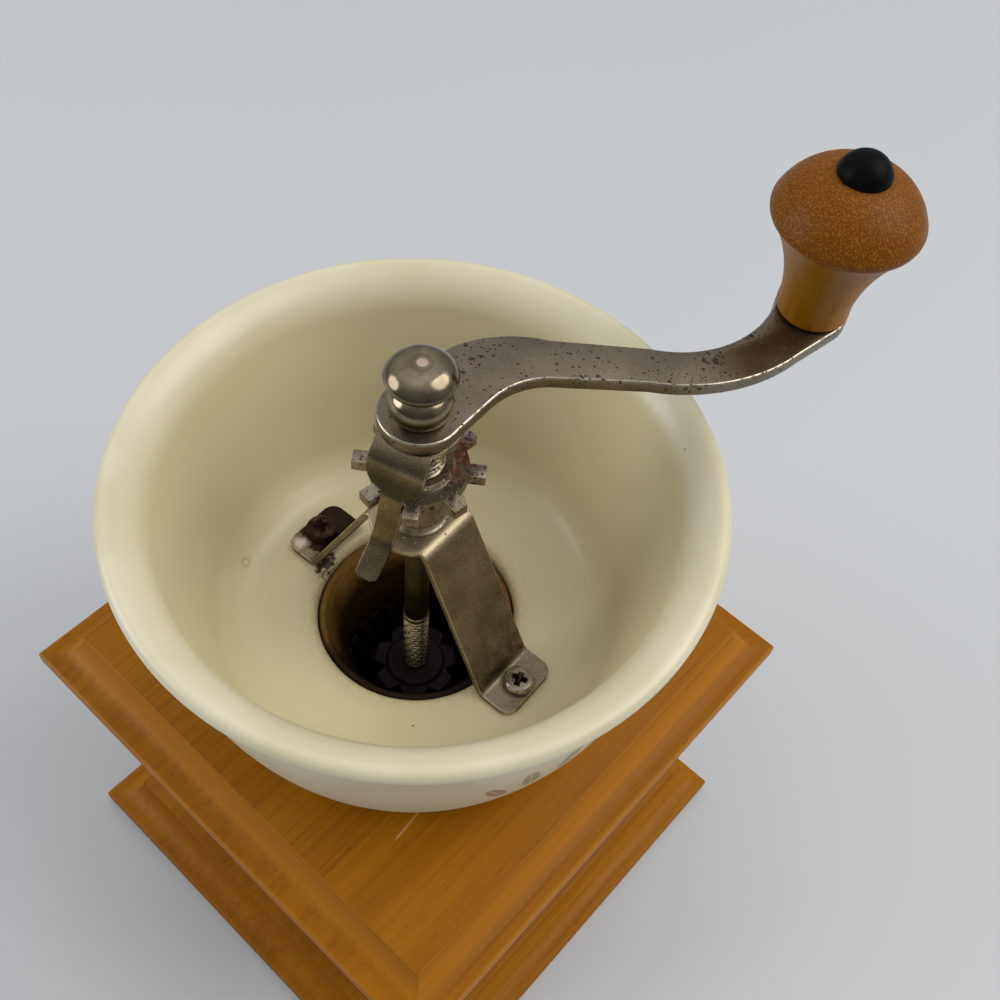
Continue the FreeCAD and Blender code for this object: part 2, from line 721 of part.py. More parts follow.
def build_drive():
    """Shaft, adjusting wheel and lock plate; threads are left plain."""
    square_top = crank_top - 0.3
    shaft = turned("shaft", [
        at(0, bridge_level - 1.2), at(given.journal_radius - 0.4, bridge_level - 1.2),
        at(given.journal_radius, bridge_level - 0.8),
        at(given.journal_radius, cone_level - given.nut_height - 0.4),
        at(given.thread_radius, cone_level - given.nut_height),
        at(given.thread_radius, given.thread_top - 0.4),
        at(given.shaft_radius, given.thread_top), at(given.shaft_radius, spindle_foot),
        at(given.spindle_radius, spindle_foot),
        at(given.spindle_radius, lock_level), at(given.thread_radius, lock_level),
        at(given.thread_radius, crank_top + given.cap_height - 4.6),
        at(given.thread_radius - 0.6, crank_top + given.cap_height - 4),
        at(0, crank_top + given.cap_height - 4),
    ])
    half = given.square_side / 2
    room = half + given.screw_fit
    square = new_sketch(shaft, "square", "XY_Plane", lift=lock_level)
    rectangle(square, -half, -half, half, half, 0.5)
    pad(shaft, square, square_top - lock_level)
    shaft.Placement.Rotation = FreeCAD.Rotation(FreeCAD.Vector(0, 0, 1), given.crank_turn.value)
    bind(shaft, "Placement.Rotation.Angle", given.crank_turn)

    wheel_turn = given.tongue_turn + 22.5
    wheel = turned("adjusting_wheel", [
        at(given.spindle_radius + given.screw_fit, -given.wheel_drop),
        at(given.wheel_hub, -given.wheel_drop),
        at(given.wheel_hub, -1.6), at(given.wheel_radius, 0), at(given.wheel_radius, given.wheel_thick),
        at(given.wheel_hub, given.wheel_thick), at(given.wheel_hub - 0.4, given.wheel_thick + 1.2),
        at(given.spindle_radius + given.screw_fit, given.wheel_thick + 1.2),
    ], z=wheel_level, turn=wheel_turn)
    lug = new_sketch(wheel, "lug", "XY_Plane")
    root, slim = given.wheel_radius - 1.2, given.lug_width / 2
    draw(lug, [at(root, -slim), at(given.lug_reach, -slim, 0.5), at(given.lug_reach, slim, 0.5),
               at(root, slim)])
    repeat(wheel, [pad(wheel, lug, given.wheel_thick)], 8)

    lock = bent_strap("lock_plate", [
        at(3, given.strap_thick / 2),
        at(given.lock_radius, given.strap_thick / 2, given.strap_thick),
        at(given.tongue_heel, -given.tongue_drop, given.strap_thick),
        at(given.tongue_tip, -given.tongue_drop - given.tongue_slope),
    ], given.tongue_root, "XZ_Plane", z=lock_level, turn=given.tongue_turn)
    mask = new_sketch(lock, "mask", "YZ_Plane")
    wide, slim = given.tongue_root / 2, given.tongue_width / 2
    low = -given.tongue_drop - given.tongue_slope - 3
    draw(mask, [at(-wide - 2, 2), at(-wide - 2, low), at(-slim, low), at(-slim, -10.8, 1.6),
                at(-wide + 0.4, -8.2, 1.6), at(-wide + 0.4, 2)])
    draw(mask, [at(wide + 2, 2), at(wide - 0.4, 2), at(wide - 0.4, -8.2, 1.6), at(slim, -10.8, 1.6),
                at(slim, low), at(wide + 2, low)])
    cut_through(lock, mask)
    tip = new_sketch(lock, "tip", "XY_Plane")
    draw(tip, [at(given.tongue_tip - 1.2, -slim), bow(given.tongue_tip - 1.2, slim, slim + 0.5, True),
               at(given.tongue_tip + 3, slim), at(given.tongue_tip + 3, -slim)])
    cut_through(lock, tip)
    disc = new_sketch(lock, "disc", "XY_Plane")
    circle(disc, 0, 0, given.lock_radius)
    pad(lock, disc, given.strap_thick)
    socket = new_sketch(lock, "socket", "XY_Plane")
    socket.AttachmentOffset = FreeCAD.Placement(
        FreeCAD.Vector(),
        FreeCAD.Rotation(FreeCAD.Vector(0, 0, 1), (given.crank_turn - given.tongue_turn).value))
    bind(socket, "AttachmentOffset.Rotation.Angle", given.crank_turn - given.tongue_turn)
    rectangle(socket, -room, -room, room, room)
    cut_through(lock, socket)


def build_crank():
    """The flat swan necked crank, the nut that holds it and the knob on its axle."""
    crank = new_body("crank_arm", z=crank_level, turn=given.crank_turn)
    plan = new_sketch(crank, "plan", "XY_Plane")
    end = given.crank_reach
    draw(plan, [
        at(given.eye_radius * cosine(-52), given.eye_radius * sine(-52)), at(13.5, -1.5),
        bow(25, -0.4, 15, False),
        at(end - 38.8, -7.3), bow(end - 8.2, -9.9, 36, True),
        at(end + given.crank_end * cosine(-72), given.crank_end * sine(-72)),
        bow(end + given.crank_end, 0, given.crank_end, True),
        bow(end + given.crank_end * cosine(80), given.crank_end * sine(80), given.crank_end, True),
        bow(end + given.crank_end * cosine(150), given.crank_end * sine(150), given.crank_end, True),
        bow(end - 35, 0.4, 22.6, False),
        at(28.7, 8.3), bow(10.3, 12.6, 24.5, True),
        at(given.eye_radius * cosine(112), given.eye_radius * sine(112)),
        bow(-given.eye_radius, 0, given.eye_radius, True),
        bow(given.eye_radius * cosine(250), given.eye_radius * sine(250), given.eye_radius, True),
        bow(given.eye_radius * cosine(-52), given.eye_radius * sine(-52), given.eye_radius, True),
    ][1:])
    pad(crank, plan, given.crank_thick)
    socket = new_sketch(crank, "socket", "XY_Plane")
    half = given.square_side / 2 + given.screw_fit
    rectangle(socket, -half, -half, half, half)
    cut_through(crank, socket)
    drill(crank, "axle_hole", [(end, 0)], given.axle_radius + given.screw_fit)

    bore = given.thread_radius + given.screw_fit
    turned("cap_nut", [
        at(bore, 0), at(given.cap_base, 0), bow(given.cap_lower, 2.9, 6.5, True),
        bow(given.cap_neck, 5.8, 4.2, True),
        at(given.cap_neck, 6.5), bow(given.cap_upper, given.cap_height - 3.4, 3.6, True),
        bow(3.4, given.cap_height - 0.3, 4.8, True), at(3, given.cap_height), at(0, given.cap_height),
        at(0, given.cap_height - 3), at(bore, given.cap_height - 3.6),
    ], z=crank_top)

    place = {"x": end * cosine(given.crank_turn), "y": end * sine(given.crank_turn)}
    cup = given.knob_height - 5.2
    grip_bore = given.axle_radius + given.running_gap
    cup_radius = given.axle_head + 0.6
    seat = given.crank_thick + given.rest_gap * 2 + cup
    turned("knob_axle", [
        at(0, -1.2), at(given.axle_head - 1, -1.2), at(given.axle_head, 0), at(given.axle_radius, 0),
        at(given.axle_radius, seat),
        at(given.axle_head, seat), at(given.axle_head, seat + 1.1), at(given.axle_head - 0.5, seat + 1.6),
        at(0, seat + 1.6),
    ], z=crank_level, **place)
    turned("knob_grip", [
        at(grip_bore, 0), at(given.knob_foot - 0.4, 0), at(given.knob_foot, 0.4),
        at(given.knob_foot, 1.2), at(given.knob_waist, 3.4),
        bow(given.knob_head - 0.6, given.knob_height - 10.6, 40, False),
        bow(given.knob_head, given.knob_height - 8, 2, True),
        bow(given.stopper_radius, given.knob_height, 13.4, True), at(cup_radius, given.knob_height),
        at(cup_radius, cup), at(grip_bore, cup),
    ], z=crank_top + given.rest_gap, **place)
    turned("knob_cap", [
        at(0, -2.6), at(cup_radius - given.screw_fit, -2.6), at(cup_radius - given.screw_fit, 0),
        at(given.stopper_radius, 0), at(given.stopper_radius, 0.8), bow(0.6, given.stopper_dome, 5, True),
        at(0, given.stopper_dome),
    ], z=crank_top + given.rest_gap + given.knob_height, **place)


def slab(label, x_low, y_low, x_high, y_high, thick, **place):
    """A plain board, given by two corners of its plan and its height."""
    body = new_body(label, **place)
    plan = new_sketch(body, "plan", "XY_Plane")
    rectangle(plan, x_low, y_low, x_high, y_high)
    pad(body, plan, thick)
    return body


def build_drawer():
    """An open topped drawer: front, sides, back, let-in bottom and a turned pull."""
    front_face = -half_box
    inner_face = front_face + given.wall
    foot = given.plate_thick + given.drawer_gap
    back_end = half_box - given.wall - given.drawer_slack
    inside = drawer_half - given.drawer_board
    groove_half = inside + given.drawer_groove
    floor_top = given.floor_lift + given.drawer_floor
    front = slab("drawer_front", -drawer_half, front_face, drawer_half, inner_face,
                 given.drawer_height, z=foot)
    hole = new_sketch(front, "screw_hole", "XZ_Plane")
    circle(hole, 0, given.pull_level, given.screw_radius + given.screw_fit)
    cut_through(front, hole)
    for label, sign in (("drawer_left", -1), ("drawer_right", 1)):
        low, high = sorted((inside * sign, drawer_half * sign), key=lambda length: length.value)
        board = slab(label, low, inner_face, high, back_end, given.drawer_side_height, z=foot)
        groove = new_sketch(board, "groove", "XZ_Plane")
        rectangle(groove, -groove_half, given.floor_lift, groove_half, floor_top)
        cut_through(board, groove)
    back_front = back_end - given.drawer_board
    slab("drawer_back", -inside, back_front, inside, back_end, given.drawer_side_height - floor_top,
         z=foot + floor_top)
    slab("drawer_bottom", -groove_half, inner_face, groove_half, back_end, given.drawer_floor,
         z=foot + given.floor_lift)

    level = foot + given.pull_level
    turned("drawer_pull", [
        at(0, -given.pull_length), at(given.pull_radius * 0.45, -given.pull_length),
        bow(given.pull_radius, 3.6 - given.pull_length, 4.6, True),
        bow(given.pull_neck, -2, 5, True), at(given.pull_neck, 0),
        at(given.screw_radius + given.screw_fit, 0),
        at(given.screw_radius + given.screw_fit, 2 - given.pull_length), at(0, 2 - given.pull_length),
    ], role="XY_Plane", y=front_face, z=level)
    reach = given.wall + given.pull_length - 3
    turned("pull_screw", screw_outline(reach, tip=0),
           role="XY_Plane", y=inner_face, z=level)


def export():
    """Checks every object of the document, then writes each sub-part's solids."""
    doc.recompute()
    failed = [item.Label for item in doc.Objects if {"Invalid", "Error"} & set(item.State)]
    failed += [body.Label for body in sub_parts if body.Shape.isNull() or not body.Shape.isValid()]
    if failed:
        raise RuntimeError(f"failed: {sorted(set(failed))}")
    os.makedirs("parts", exist_ok=True)
    for body in sub_parts:
        body.Shape.exportStep(f"parts/{body.Label}.step")
        print(f"{body.Label}: {len(body.Shape.Solids)} solids, {body.Shape.Volume:.0f} mm3")


build_box()
build_bowl()
build_bracket()
build_fixings()
build_burrs()
build_drive()
build_crank()
build_drawer()
export()
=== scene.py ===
"""The look of the hand cranked coffee grinder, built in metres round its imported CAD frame.

+Z is up, the drawer opens towards -Y, and the origin is the middle of the base's underside."""

import math

import bpy
from mathutils import Matrix, Vector


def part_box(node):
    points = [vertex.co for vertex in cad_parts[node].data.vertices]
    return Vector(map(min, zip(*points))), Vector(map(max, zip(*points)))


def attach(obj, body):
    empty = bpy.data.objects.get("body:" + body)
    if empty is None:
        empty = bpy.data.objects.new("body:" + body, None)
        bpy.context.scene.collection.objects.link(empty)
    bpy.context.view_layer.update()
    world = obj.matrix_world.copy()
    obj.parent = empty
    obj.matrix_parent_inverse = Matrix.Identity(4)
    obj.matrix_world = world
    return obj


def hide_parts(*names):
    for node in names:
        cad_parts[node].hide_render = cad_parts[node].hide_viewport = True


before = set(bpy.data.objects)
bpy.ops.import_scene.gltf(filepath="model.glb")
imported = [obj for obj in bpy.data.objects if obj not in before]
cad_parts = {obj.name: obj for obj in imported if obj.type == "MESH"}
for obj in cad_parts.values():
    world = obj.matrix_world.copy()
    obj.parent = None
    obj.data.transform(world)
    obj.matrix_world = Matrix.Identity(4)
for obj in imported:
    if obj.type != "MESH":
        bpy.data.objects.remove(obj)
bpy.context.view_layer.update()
bpy.ops.object.select_all(action="DESELECT")
mm = 0.001


# The camera looks down into the bowl from above its left front corner, where the photograph was
# taken. Its place was found by fitting the rim's ellipse, the boards' corners and the crank.
rim_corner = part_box("hopper_bowl")[1]
azimuth, elevation, roll = -0.810, 0.946, 0.022
rim_distance = 3.778 * rim_corner.x
look_aside, look_up = 0.068, -0.017
sensor, lens_length = 36, 43.06

back = Vector((
    math.sin(azimuth) * math.cos(elevation),
    -math.cos(azimuth) * math.cos(elevation),
    math.sin(elevation)))
level_right = (-back).cross(Vector((0, 0, 1))).normalized()
level_up = level_right.cross(-back)
ahead = (-back + look_aside * level_right + look_up * level_up).normalized()
flat_right = ahead.cross(level_up).normalized()
flat_up = flat_right.cross(ahead)
camera_right = math.cos(roll) * flat_right + math.sin(roll) * flat_up
camera_up = math.cos(roll) * flat_up - math.sin(roll) * flat_right
camera = bpy.data.objects.new("camera", bpy.data.cameras.new("camera"))
camera.data.sensor_width = sensor
camera.data.lens = lens_length
camera.data.clip_start = 10 * mm
camera.matrix_world = Matrix((camera_right, camera_up, -ahead)).transposed().to_4x4()
camera.location = back * rim_distance + Vector((0, 0, rim_corner.z))
bpy.context.scene.collection.objects.link(camera)
bpy.context.scene.camera = camera


# The room is a pale, evenly lit one: a soft sky, brighter overhead and dimmer on the side where the
# viewer stands, and a large soft box on each side, whose reflections show on the polished nut.
class Wire:
    """An output socket that stands in sums: each operator adds its Math node."""

    def __init__(self, nodes, socket):
        self.nodes = nodes
        self.socket = socket

    def sum(self, operation, first, second=0.0):
        return self.nodes.node("Math", {0: first, 1: second}, operation=operation)

    def __add__(self, other):
        return self.sum("ADD", self, other)

    def __sub__(self, other):
        return self.sum("SUBTRACT", self, other)

    def __mul__(self, other):
        return self.sum("MULTIPLY", self, other)

    def __truediv__(self, other):
        return self.sum("DIVIDE", self, other)

    def __rsub__(self, other):
        return self.sum("SUBTRACT", other, self)

    def __abs__(self):
        return self.sum("ABSOLUTE", self)

    __radd__ = __add__
    __rmul__ = __mul__


class Nodes:
    """A node tree and the one way to add nodes to it."""

    def __init__(self, tree):
        self.tree = tree

    def feed(self, socket, value):
        if isinstance(value, Wire):
            self.tree.links.new(value.socket, socket)
        else:
            socket.default_value = value

    def node(self, kind, values=None, out=0, stops=None, **settings):
        """Adds a node: its settings and a ramp's stops first, then its sockets' values or links."""
        made = self.tree.nodes.new("ShaderNode" + kind)
        for setting, value in settings.items():
            setattr(made, setting, value)
        for index, (place, colour) in enumerate(stops or []):
            elements = made.color_ramp.elements
            stop = elements[index] if index < 2 else elements.new(place)
            stop.position = place
            stop.color = (*colour, 1)
        for socket, value in (values or {}).items():
            self.feed(made.inputs[socket], value)
        return Wire(self, made.outputs[out])

    def axis(self, where, letter):
        """One coordinate of a place or a direction."""
        return self.node("SeparateXYZ", {0: where}, out=letter)

    def step(self, value, low, high):
        """0 below low, 1 above high and smooth in between."""
        return self.node("MapRange", {"Value": value, "From Min": low, "From Max": high},
                         interpolation_type="SMOOTHSTEP")


def soft_box(name, place, size, power, colour, aim=(0, 0, 0.12)):
    """A round area light that faces the bowl."""
    lamp = bpy.data.objects.new(name, bpy.data.lights.new(name, "AREA"))
    lamp.data.shape = "DISK"
    lamp.data.size = size
    lamp.data.energy = power
    lamp.data.color = colour
    lamp.location = place
    lamp.rotation_mode = "QUATERNION"
    lamp.rotation_quaternion = (lamp.location - Vector(aim)).to_track_quat("Z", "Y")
    bpy.context.scene.collection.objects.link(lamp)


sky_low, sky_mid, sky_high = (0.31, 0.32, 0.33), (0.59, 0.60, 0.61), (0.97, 0.985, 1.0)
sky_strength, viewer_dimming = 0.92, 0.62
viewer_east, viewer_north = -0.90, -0.44
world = bpy.data.worlds.new("room")
world.use_nodes = True
bpy.context.scene.world = world
room = Nodes(world.node_tree)
facing = room.node("TexCoord", out="Generated")
eastward, northward, upward = (room.axis(facing, letter) for letter in "XYZ")
sky = room.node("ValToRGB", {0: upward}, stops=[(0.0, sky_low), (0.5, sky_mid), (0.95, sky_high)])
viewer_side = room.step(eastward * viewer_east + northward * viewer_north, 0.0, 0.8)
background = world.node_tree.nodes["Background"]
room.feed(background.inputs["Color"], sky)
room.feed(background.inputs["Strength"], (1 - viewer_side * viewer_dimming) * sky_strength)
soft_box("window_right", (0.52, -0.62, 1.02), 1.00, 7.6, (1.0, 0.98, 0.95))
soft_box("window_left", (-0.80, 0.84, 0.56), 0.80, 5.6, (0.96, 0.98, 1.0))
bpy.context.scene.view_settings.view_transform = "Standard"


# The floor is the plain pale surface that the grinder stands on, a shade cooler than white.
class Finish(Nodes):
    """A material built round one Principled shader."""

    def __init__(self, name, **uniform):
        self.material = bpy.data.materials.new(name)
        self.material.use_nodes = True
        super().__init__(self.material.node_tree)
        self.shader = self.tree.nodes["Principled BSDF"]
        self.surface(**uniform)

    def surface(self, **sockets):
        """Feeds sockets of the shader; an underscore stands for the space in a socket's name."""
        for socket, value in sockets.items():
            self.feed(self.shader.inputs[socket.replace("_", " ")], value)

    def place(self, turn=(0, 0, 0), move=(0, 0, 0)):
        """Places on the piece in metres, turned and moved."""
        here = self.node("TexCoord", out="Object")
        return self.node("Mapping", {"Vector": here, "Rotation": turn, "Location": move})

    def normal(self):
        """The way that the surface faces."""
        return self.node("TexCoord", out="Normal")

    def dot(self, vector, direction):
        """How far a vector reaches in a direction."""
        return self.node("VectorMath", {0: vector, 1: direction}, out="Value", operation="DOT_PRODUCT")

    def away(self, here, place):
        """The distance between two places."""
        return self.node("VectorMath", {0: here, 1: place}, out="Value", operation="DISTANCE")

    def flat(self, here):
        """A place with its height left out."""
        return self.node("VectorMath", {0: here, 1: (1, 1, 0)}, operation="MULTIPLY")

    def radius(self, here):
        """The distance of a place from the upright axis."""
        return self.away(self.flat(here), (0, 0, 0))

    def cells(self, here, width):
        """Cells scattered one width apart: the way from each middle, and a number drawn for each."""
        spread = {"Vector": here, "Scale": 1 / width}
        drawn = self.node("SeparateColor", {0: self.node("TexVoronoi", spread, out="Color")}, out="Red")
        return self.node("TexVoronoi", spread, out="Distance"), drawn

    def noise(self, where, feature, stretch=(1, 1, 1), detail=2.0, rough=0.5):
        """Noise whose blotches are about one feature wide, in metres."""
        scaled = self.node("Mapping", {"Vector": where, "Scale": stretch})
        return self.node("TexNoise", {"Vector": scaled, "Scale": 1 / feature, "Detail": detail,
                                      "Roughness": rough})

    def mix(self, share, first, second):
        """Colours: first where share is 0, second where it is 1."""
        return self.node("Mix", {0: share, 6: first, 7: second}, out=2, data_type="RGBA",
                         clamp_factor=True)

    def relief(self, height, depth):
        """A bump whose full height is one depth, in metres."""
        return self.node("Bump", {"Height": height, "Distance": depth, "Strength": 1.0}, out="Normal")


def tone(red, green, blue):
    """A colour given as it is seen, 0 to 255, in the linear values that sockets take."""
    return tuple(
        (share / 12.92 if share <= 0.04045 else ((share + 0.055) / 1.055) ** 2.4)
        for share in (red / 255, green / 255, blue / 255)) + (1,)


floor_size, floor_gap = 6.0, 0.1 * mm
bpy.ops.mesh.primitive_plane_add(size=floor_size, location=(0, 0, -floor_gap))
floor = bpy.context.object
floor.name = "floor"
floor_paint = Finish("pale floor", Roughness=0.55)
floor_cloud = floor_paint.noise(floor_paint.place(), 0.5)
floor_paint.surface(Base_Color=floor_paint.mix(floor_cloud, tone(194, 197, 200), tone(200, 203, 205)))
floor.data.materials.append(floor_paint.material)


# The base is a moulded board of pale hardwood, stained honey and lacquered satin: a square lip,
# a cove above it and a flat top. Four countersunk screws come up through it into the side boards.
honey = tone(112, 62, 1), tone(142, 86, 2), tone(160, 102, 6), tone(124, 74, 6)
along_x, along_y, along_z = (0, 0, 0), (0, 0, -math.pi / 2), (0, math.pi / 2, 0)


def wood(name, grain, start, tones, roughness=0.42):
    """Stained hardwood under satin lacquer: soft bands, fine streaks and flecks along the grain.
    Its tones are the dark, middle and pale one of the wood and the one of cut ends."""
    dark, mid, pale, end = tones
    finish = Finish(name)
    trunk = finish.place(turn=grain, move=start)
    bands = finish.noise(trunk, 13 * mm, stretch=(0.05, 1, 1), detail=2)
    streaks = finish.noise(trunk, 1.4 * mm, stretch=(0.02, 1, 1), detail=4, rough=0.6)
    fibres = finish.noise(trunk, 0.42 * mm, stretch=(0.035, 1, 1), detail=2)
    flecks = finish.step(finish.noise(trunk, 0.30 * mm, stretch=(0.07, 1, 1), detail=0), 0.66, 0.74)
    pores = finish.noise(trunk, 0.5 * mm, detail=2, rough=0.6)
    body = finish.mix(finish.step(bands * 0.6 + streaks * 0.4, 0.36, 0.64) * 0.8, pale, mid)
    body = finish.mix(finish.step(streaks * 0.5 + fibres * 0.5, 0.48, 0.68) * 0.36, body, dark)
    body = finish.mix(flecks * 0.30, body, dark)
    facing = finish.node("Mapping", {"Vector": finish.normal(), "Rotation": grain})
    endways = finish.axis(facing, "X")
    cut_end = finish.step(endways * endways, 0.15, 0.8)
    body = finish.mix(cut_end * 0.85, body, finish.mix(finish.step(pores, 0.35, 0.66) * 0.6, mid, end))
    sheen = finish.noise(finish.place(), 9 * mm, detail=3)
    finish.surface(
        Base_Color=body, Roughness=sheen * 0.10 + (roughness - 0.05) + cut_end * 0.08,
        Specular_IOR_Level=0.12,
        Normal=finish.relief(fibres * 0.5 + streaks * 0.5 - flecks * 0.3, 0.015 * mm))
    return finish


def arc(start, end, radius, left=True, steps=10):
    """Points on the way from start to end, along an arc with its centre left or right of it."""
    start, end = Vector(start), Vector(end)
    way = end - start
    side = Vector((-way.y, way.x)).normalized() * (1 if left else -1)
    centre = (start + end) / 2 + side * math.sqrt(max(radius ** 2 - way.length_squared / 4, 0))
    first, last = start - centre, end - centre
    sweep = (math.atan2(last.y, last.x) - math.atan2(first.y, first.x) + math.pi) % math.tau - math.pi
    turns = [Matrix.Rotation(sweep * step / steps, 2) @ first for step in range(1, steps + 1)]
    return [tuple(centre + spoke) for spoke in turns]


def choose(piece):
    """Makes one piece the only one that an operator acts on."""
    bpy.ops.object.select_all(action="DESELECT")
    piece.select_set(True)
    bpy.context.view_layer.objects.active = piece


def put(piece, turn=(0, 0, 0), move=(0, 0, 0)):
    """Turns and moves a piece, with its place kept in its mesh."""
    choose(piece)
    piece.rotation_euler = turn
    piece.location = move
    bpy.ops.object.transform_apply(location=True, rotation=True, scale=True)


def ease(piece, width, segments=3, limit=30):
    """Rounds the edges that are sharper than the limit, and shades the rest smooth."""
    choose(piece)
    if width:
        bevel = piece.modifiers.new("eased", "BEVEL")
        bevel.width = width
        bevel.segments = segments
        bevel.limit_method = "ANGLE"
        bevel.angle_limit = math.radians(limit)
        bpy.ops.object.modifier_apply(modifier=bevel.name)
    bpy.ops.object.shade_smooth_by_angle(angle=math.radians(32))


def carve(piece, cutter, operation="DIFFERENCE"):
    """Cuts a cutter's shape out of a piece, or joins it on, and takes the cutter away."""
    choose(piece)
    cut = piece.modifiers.new("cut", "BOOLEAN")
    cut.operation = operation
    cut.object = cutter
    bpy.ops.object.modifier_apply(modifier=cut.name)
    bpy.data.objects.remove(cutter)


def fit(piece, finish, body, slot, *nodes):
    """Gives a piece its material and its body, and hides the CAD nodes that it stands for; the slot is
    not used.
    """
    piece.data.materials.clear()
    piece.data.materials.append(finish.material)
    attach(piece, body)
    if nodes:
        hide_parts(*nodes)


def leave_edit():
    """Turns all faces of the mesh in hand outwards, and goes back to whole pieces."""
    bpy.ops.mesh.select_all(action="SELECT")
    bpy.ops.mesh.normals_make_consistent(inside=False)
    bpy.ops.object.mode_set(mode="OBJECT")


def middle(node):
    """The middle of a CAD node's box."""
    low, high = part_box(node)
    return (low + high) / 2


def moulded_board(name, node, lip_round=0.8 * mm):
    """A square board drawn up ring by ring: round lip, cove and flat top."""
    low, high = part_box(node)
    half, thick = (high.x - low.x) / 2, high.z - low.z
    cove = 7.5 * mm
    lip = thick - cove
    land = half - lip_round
    outline = [(land, 0)]
    outline += arc((land, 0), (half, lip_round), lip_round, steps=4)
    outline += [(half, lip - lip_round)]
    outline += arc((half, lip - lip_round), (land, lip), lip_round, steps=4)
    outline += arc((land, lip), (land - cove, thick), cove, left=False, steps=14)
    bpy.ops.mesh.primitive_plane_add(size=land * 2, location=(0, 0, low.z))
    piece = bpy.context.object
    piece.name = name
    bpy.ops.object.mode_set(mode="EDIT")
    for before, after in zip(outline, outline[1:]):
        bpy.ops.mesh.extrude_region_move(
            TRANSFORM_OT_translate={"value": (0, 0, after[1] - before[1])})
        growth = after[0] / before[0]
        bpy.ops.transform.resize(value=(growth, growth, 1), center_override=(0, 0, low.z))
    leave_edit()
    put(piece, move=piece.location)
    return piece


base_board = moulded_board("base_board", "bottom_plate")
screw_places = [middle(f"base_screw_{end}_{side}")
                for end in ("front", "rear") for side in ("left", "right")]
sink_radius, sink_end, sink_depth, overlap = 3.55 * mm, 1.8 * mm, 2.6 * mm, 0.3 * mm
for spot in screw_places:
    bpy.ops.mesh.primitive_cone_add(
        vertices=48, radius1=sink_radius + overlap, radius2=sink_end, depth=sink_depth,
        location=(spot.x, spot.y, sink_depth / 2 - overlap))
    carve(base_board, bpy.context.object)
ease(base_board, 0.3 * mm)
base_wood = wood("base wood", along_x, (0.03, 21 * mm, 64 * mm), honey)
fit(base_board, base_wood, "base", "lacquered_wood", "bottom_plate")


# The side, back and rail boards are planed, glued between base and deck and lacquered with them.
# The side boards run the box's full depth, so their end grain shows at the front corners.
def board(name, node, edge):
    """A planed board of its CAD node's size with eased edges."""
    low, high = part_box(node)
    bpy.ops.mesh.primitive_cube_add(size=1, location=(low + high) / 2, scale=high - low)
    piece = bpy.context.object
    piece.name = name
    put(piece, move=piece.location)
    ease(piece, edge, limit=40)
    return piece


side_wood = wood("side wood", along_y, (0.05, 33 * mm, 40 * mm), honey)
cross_wood = wood("cross wood", along_x, (0.02, 90 * mm, 18 * mm), honey)
for name, node, finish in (
        ("left_board", "left_wall", side_wood), ("right_board", "right_wall", side_wood),
        ("back_board", "back_wall", cross_wood), ("rail_board", "front_rail", cross_wood)):
    fit(board(name, node, 0.5 * mm), finish, "base", "lacquered_wood", node)


# The base screws are countersunk zinc wood screws; the cross recess is struck into each head.
zinc_pale, zinc_dark = tone(152, 142, 130), tone(98, 88, 76)
pit_brown, glint_and_wear_tone = tone(40, 27, 18), tone(206, 198, 176)
rust_brown, rust_dark = tone(116, 64, 20), tone(46, 29, 18)


def plated(name, dark, pale, roughness=0.34, pits=0.85, crowd=0.0, rust=(), arris=(0, 0, 1),
           wear_glint_share=0.75):
    """Aged plated steel: frosted and pitted, rusted round spots of (place, radius, share), and
    brighter on the edges whose faces turn away from the arris direction: worn plating and a painted
    highlight."""
    finish = Finish(name)
    here = finish.place()
    clouds = finish.noise(here, 7 * mm, detail=3)
    frost = finish.noise(here, 0.22 * mm, detail=2)
    gather = finish.noise(here, 6 * mm, detail=2)
    ragged = finish.noise(here, 1.5 * mm, detail=4, rough=0.7)
    near = rusting = gather * 0.0
    for place, radius, share in rust:
        spot = finish.step(finish.away(here, place), radius, radius * 0.1)
        near, rusting = near + spot, rusting + spot * share
    closer = (gather - 0.5) * 1.2 + near * 0.35 + (crowd + 0.55)
    marks = 0.0
    for width, size in ((0.72 * mm, 0.46), (1.7 * mm, 0.34)):
        away, drawn = finish.cells(here, width)
        edge = away + (frost - 0.5) * 0.30
        marks = marks + finish.step((closer - drawn) * size - edge, -0.04, 0.04)
    marks = finish.node("Clamp", {0: marks})
    bloom = finish.step(ragged + rusting * 0.45, 0.76, 0.92)
    flat = abs(finish.dot(finish.normal(), arris))
    # Painted highlight and wear: edge faces turned away from the arris direction are painted brighter
    # and smoother.
    worn_edge_glint = finish.step(flat, 0.12, 0.40) * finish.step(flat, 0.985, 0.86)
    worn_edge_glint = worn_edge_glint * finish.step(ragged, 0.36, 0.52)
    body = finish.mix(finish.step(clouds * 0.4 + frost * 0.6, 0.38, 0.62), dark, pale)
    body = finish.mix(worn_edge_glint * wear_glint_share, body, glint_and_wear_tone)
    body = finish.mix(marks * pits, body, pit_brown)
    rusted = finish.mix(finish.step(frost, 0.4, 0.6), rust_brown, rust_dark)
    body = finish.mix(bloom * 0.92, body, rusted)
    dullness = clouds * 0.12 + frost * 0.10 + (roughness - 0.11) + bloom * 0.4 + marks * 0.2
    finish.surface(
        Specular_IOR_Level=0.15, Base_Color=body, Metallic=1 - bloom * 0.9 - marks * (pits * 0.6),
        Roughness=dullness - worn_edge_glint * 0.08,
        Normal=finish.relief(frost * 0.2 - marks * pits + bloom * ragged * 0.9, 0.05 * mm))
    return finish


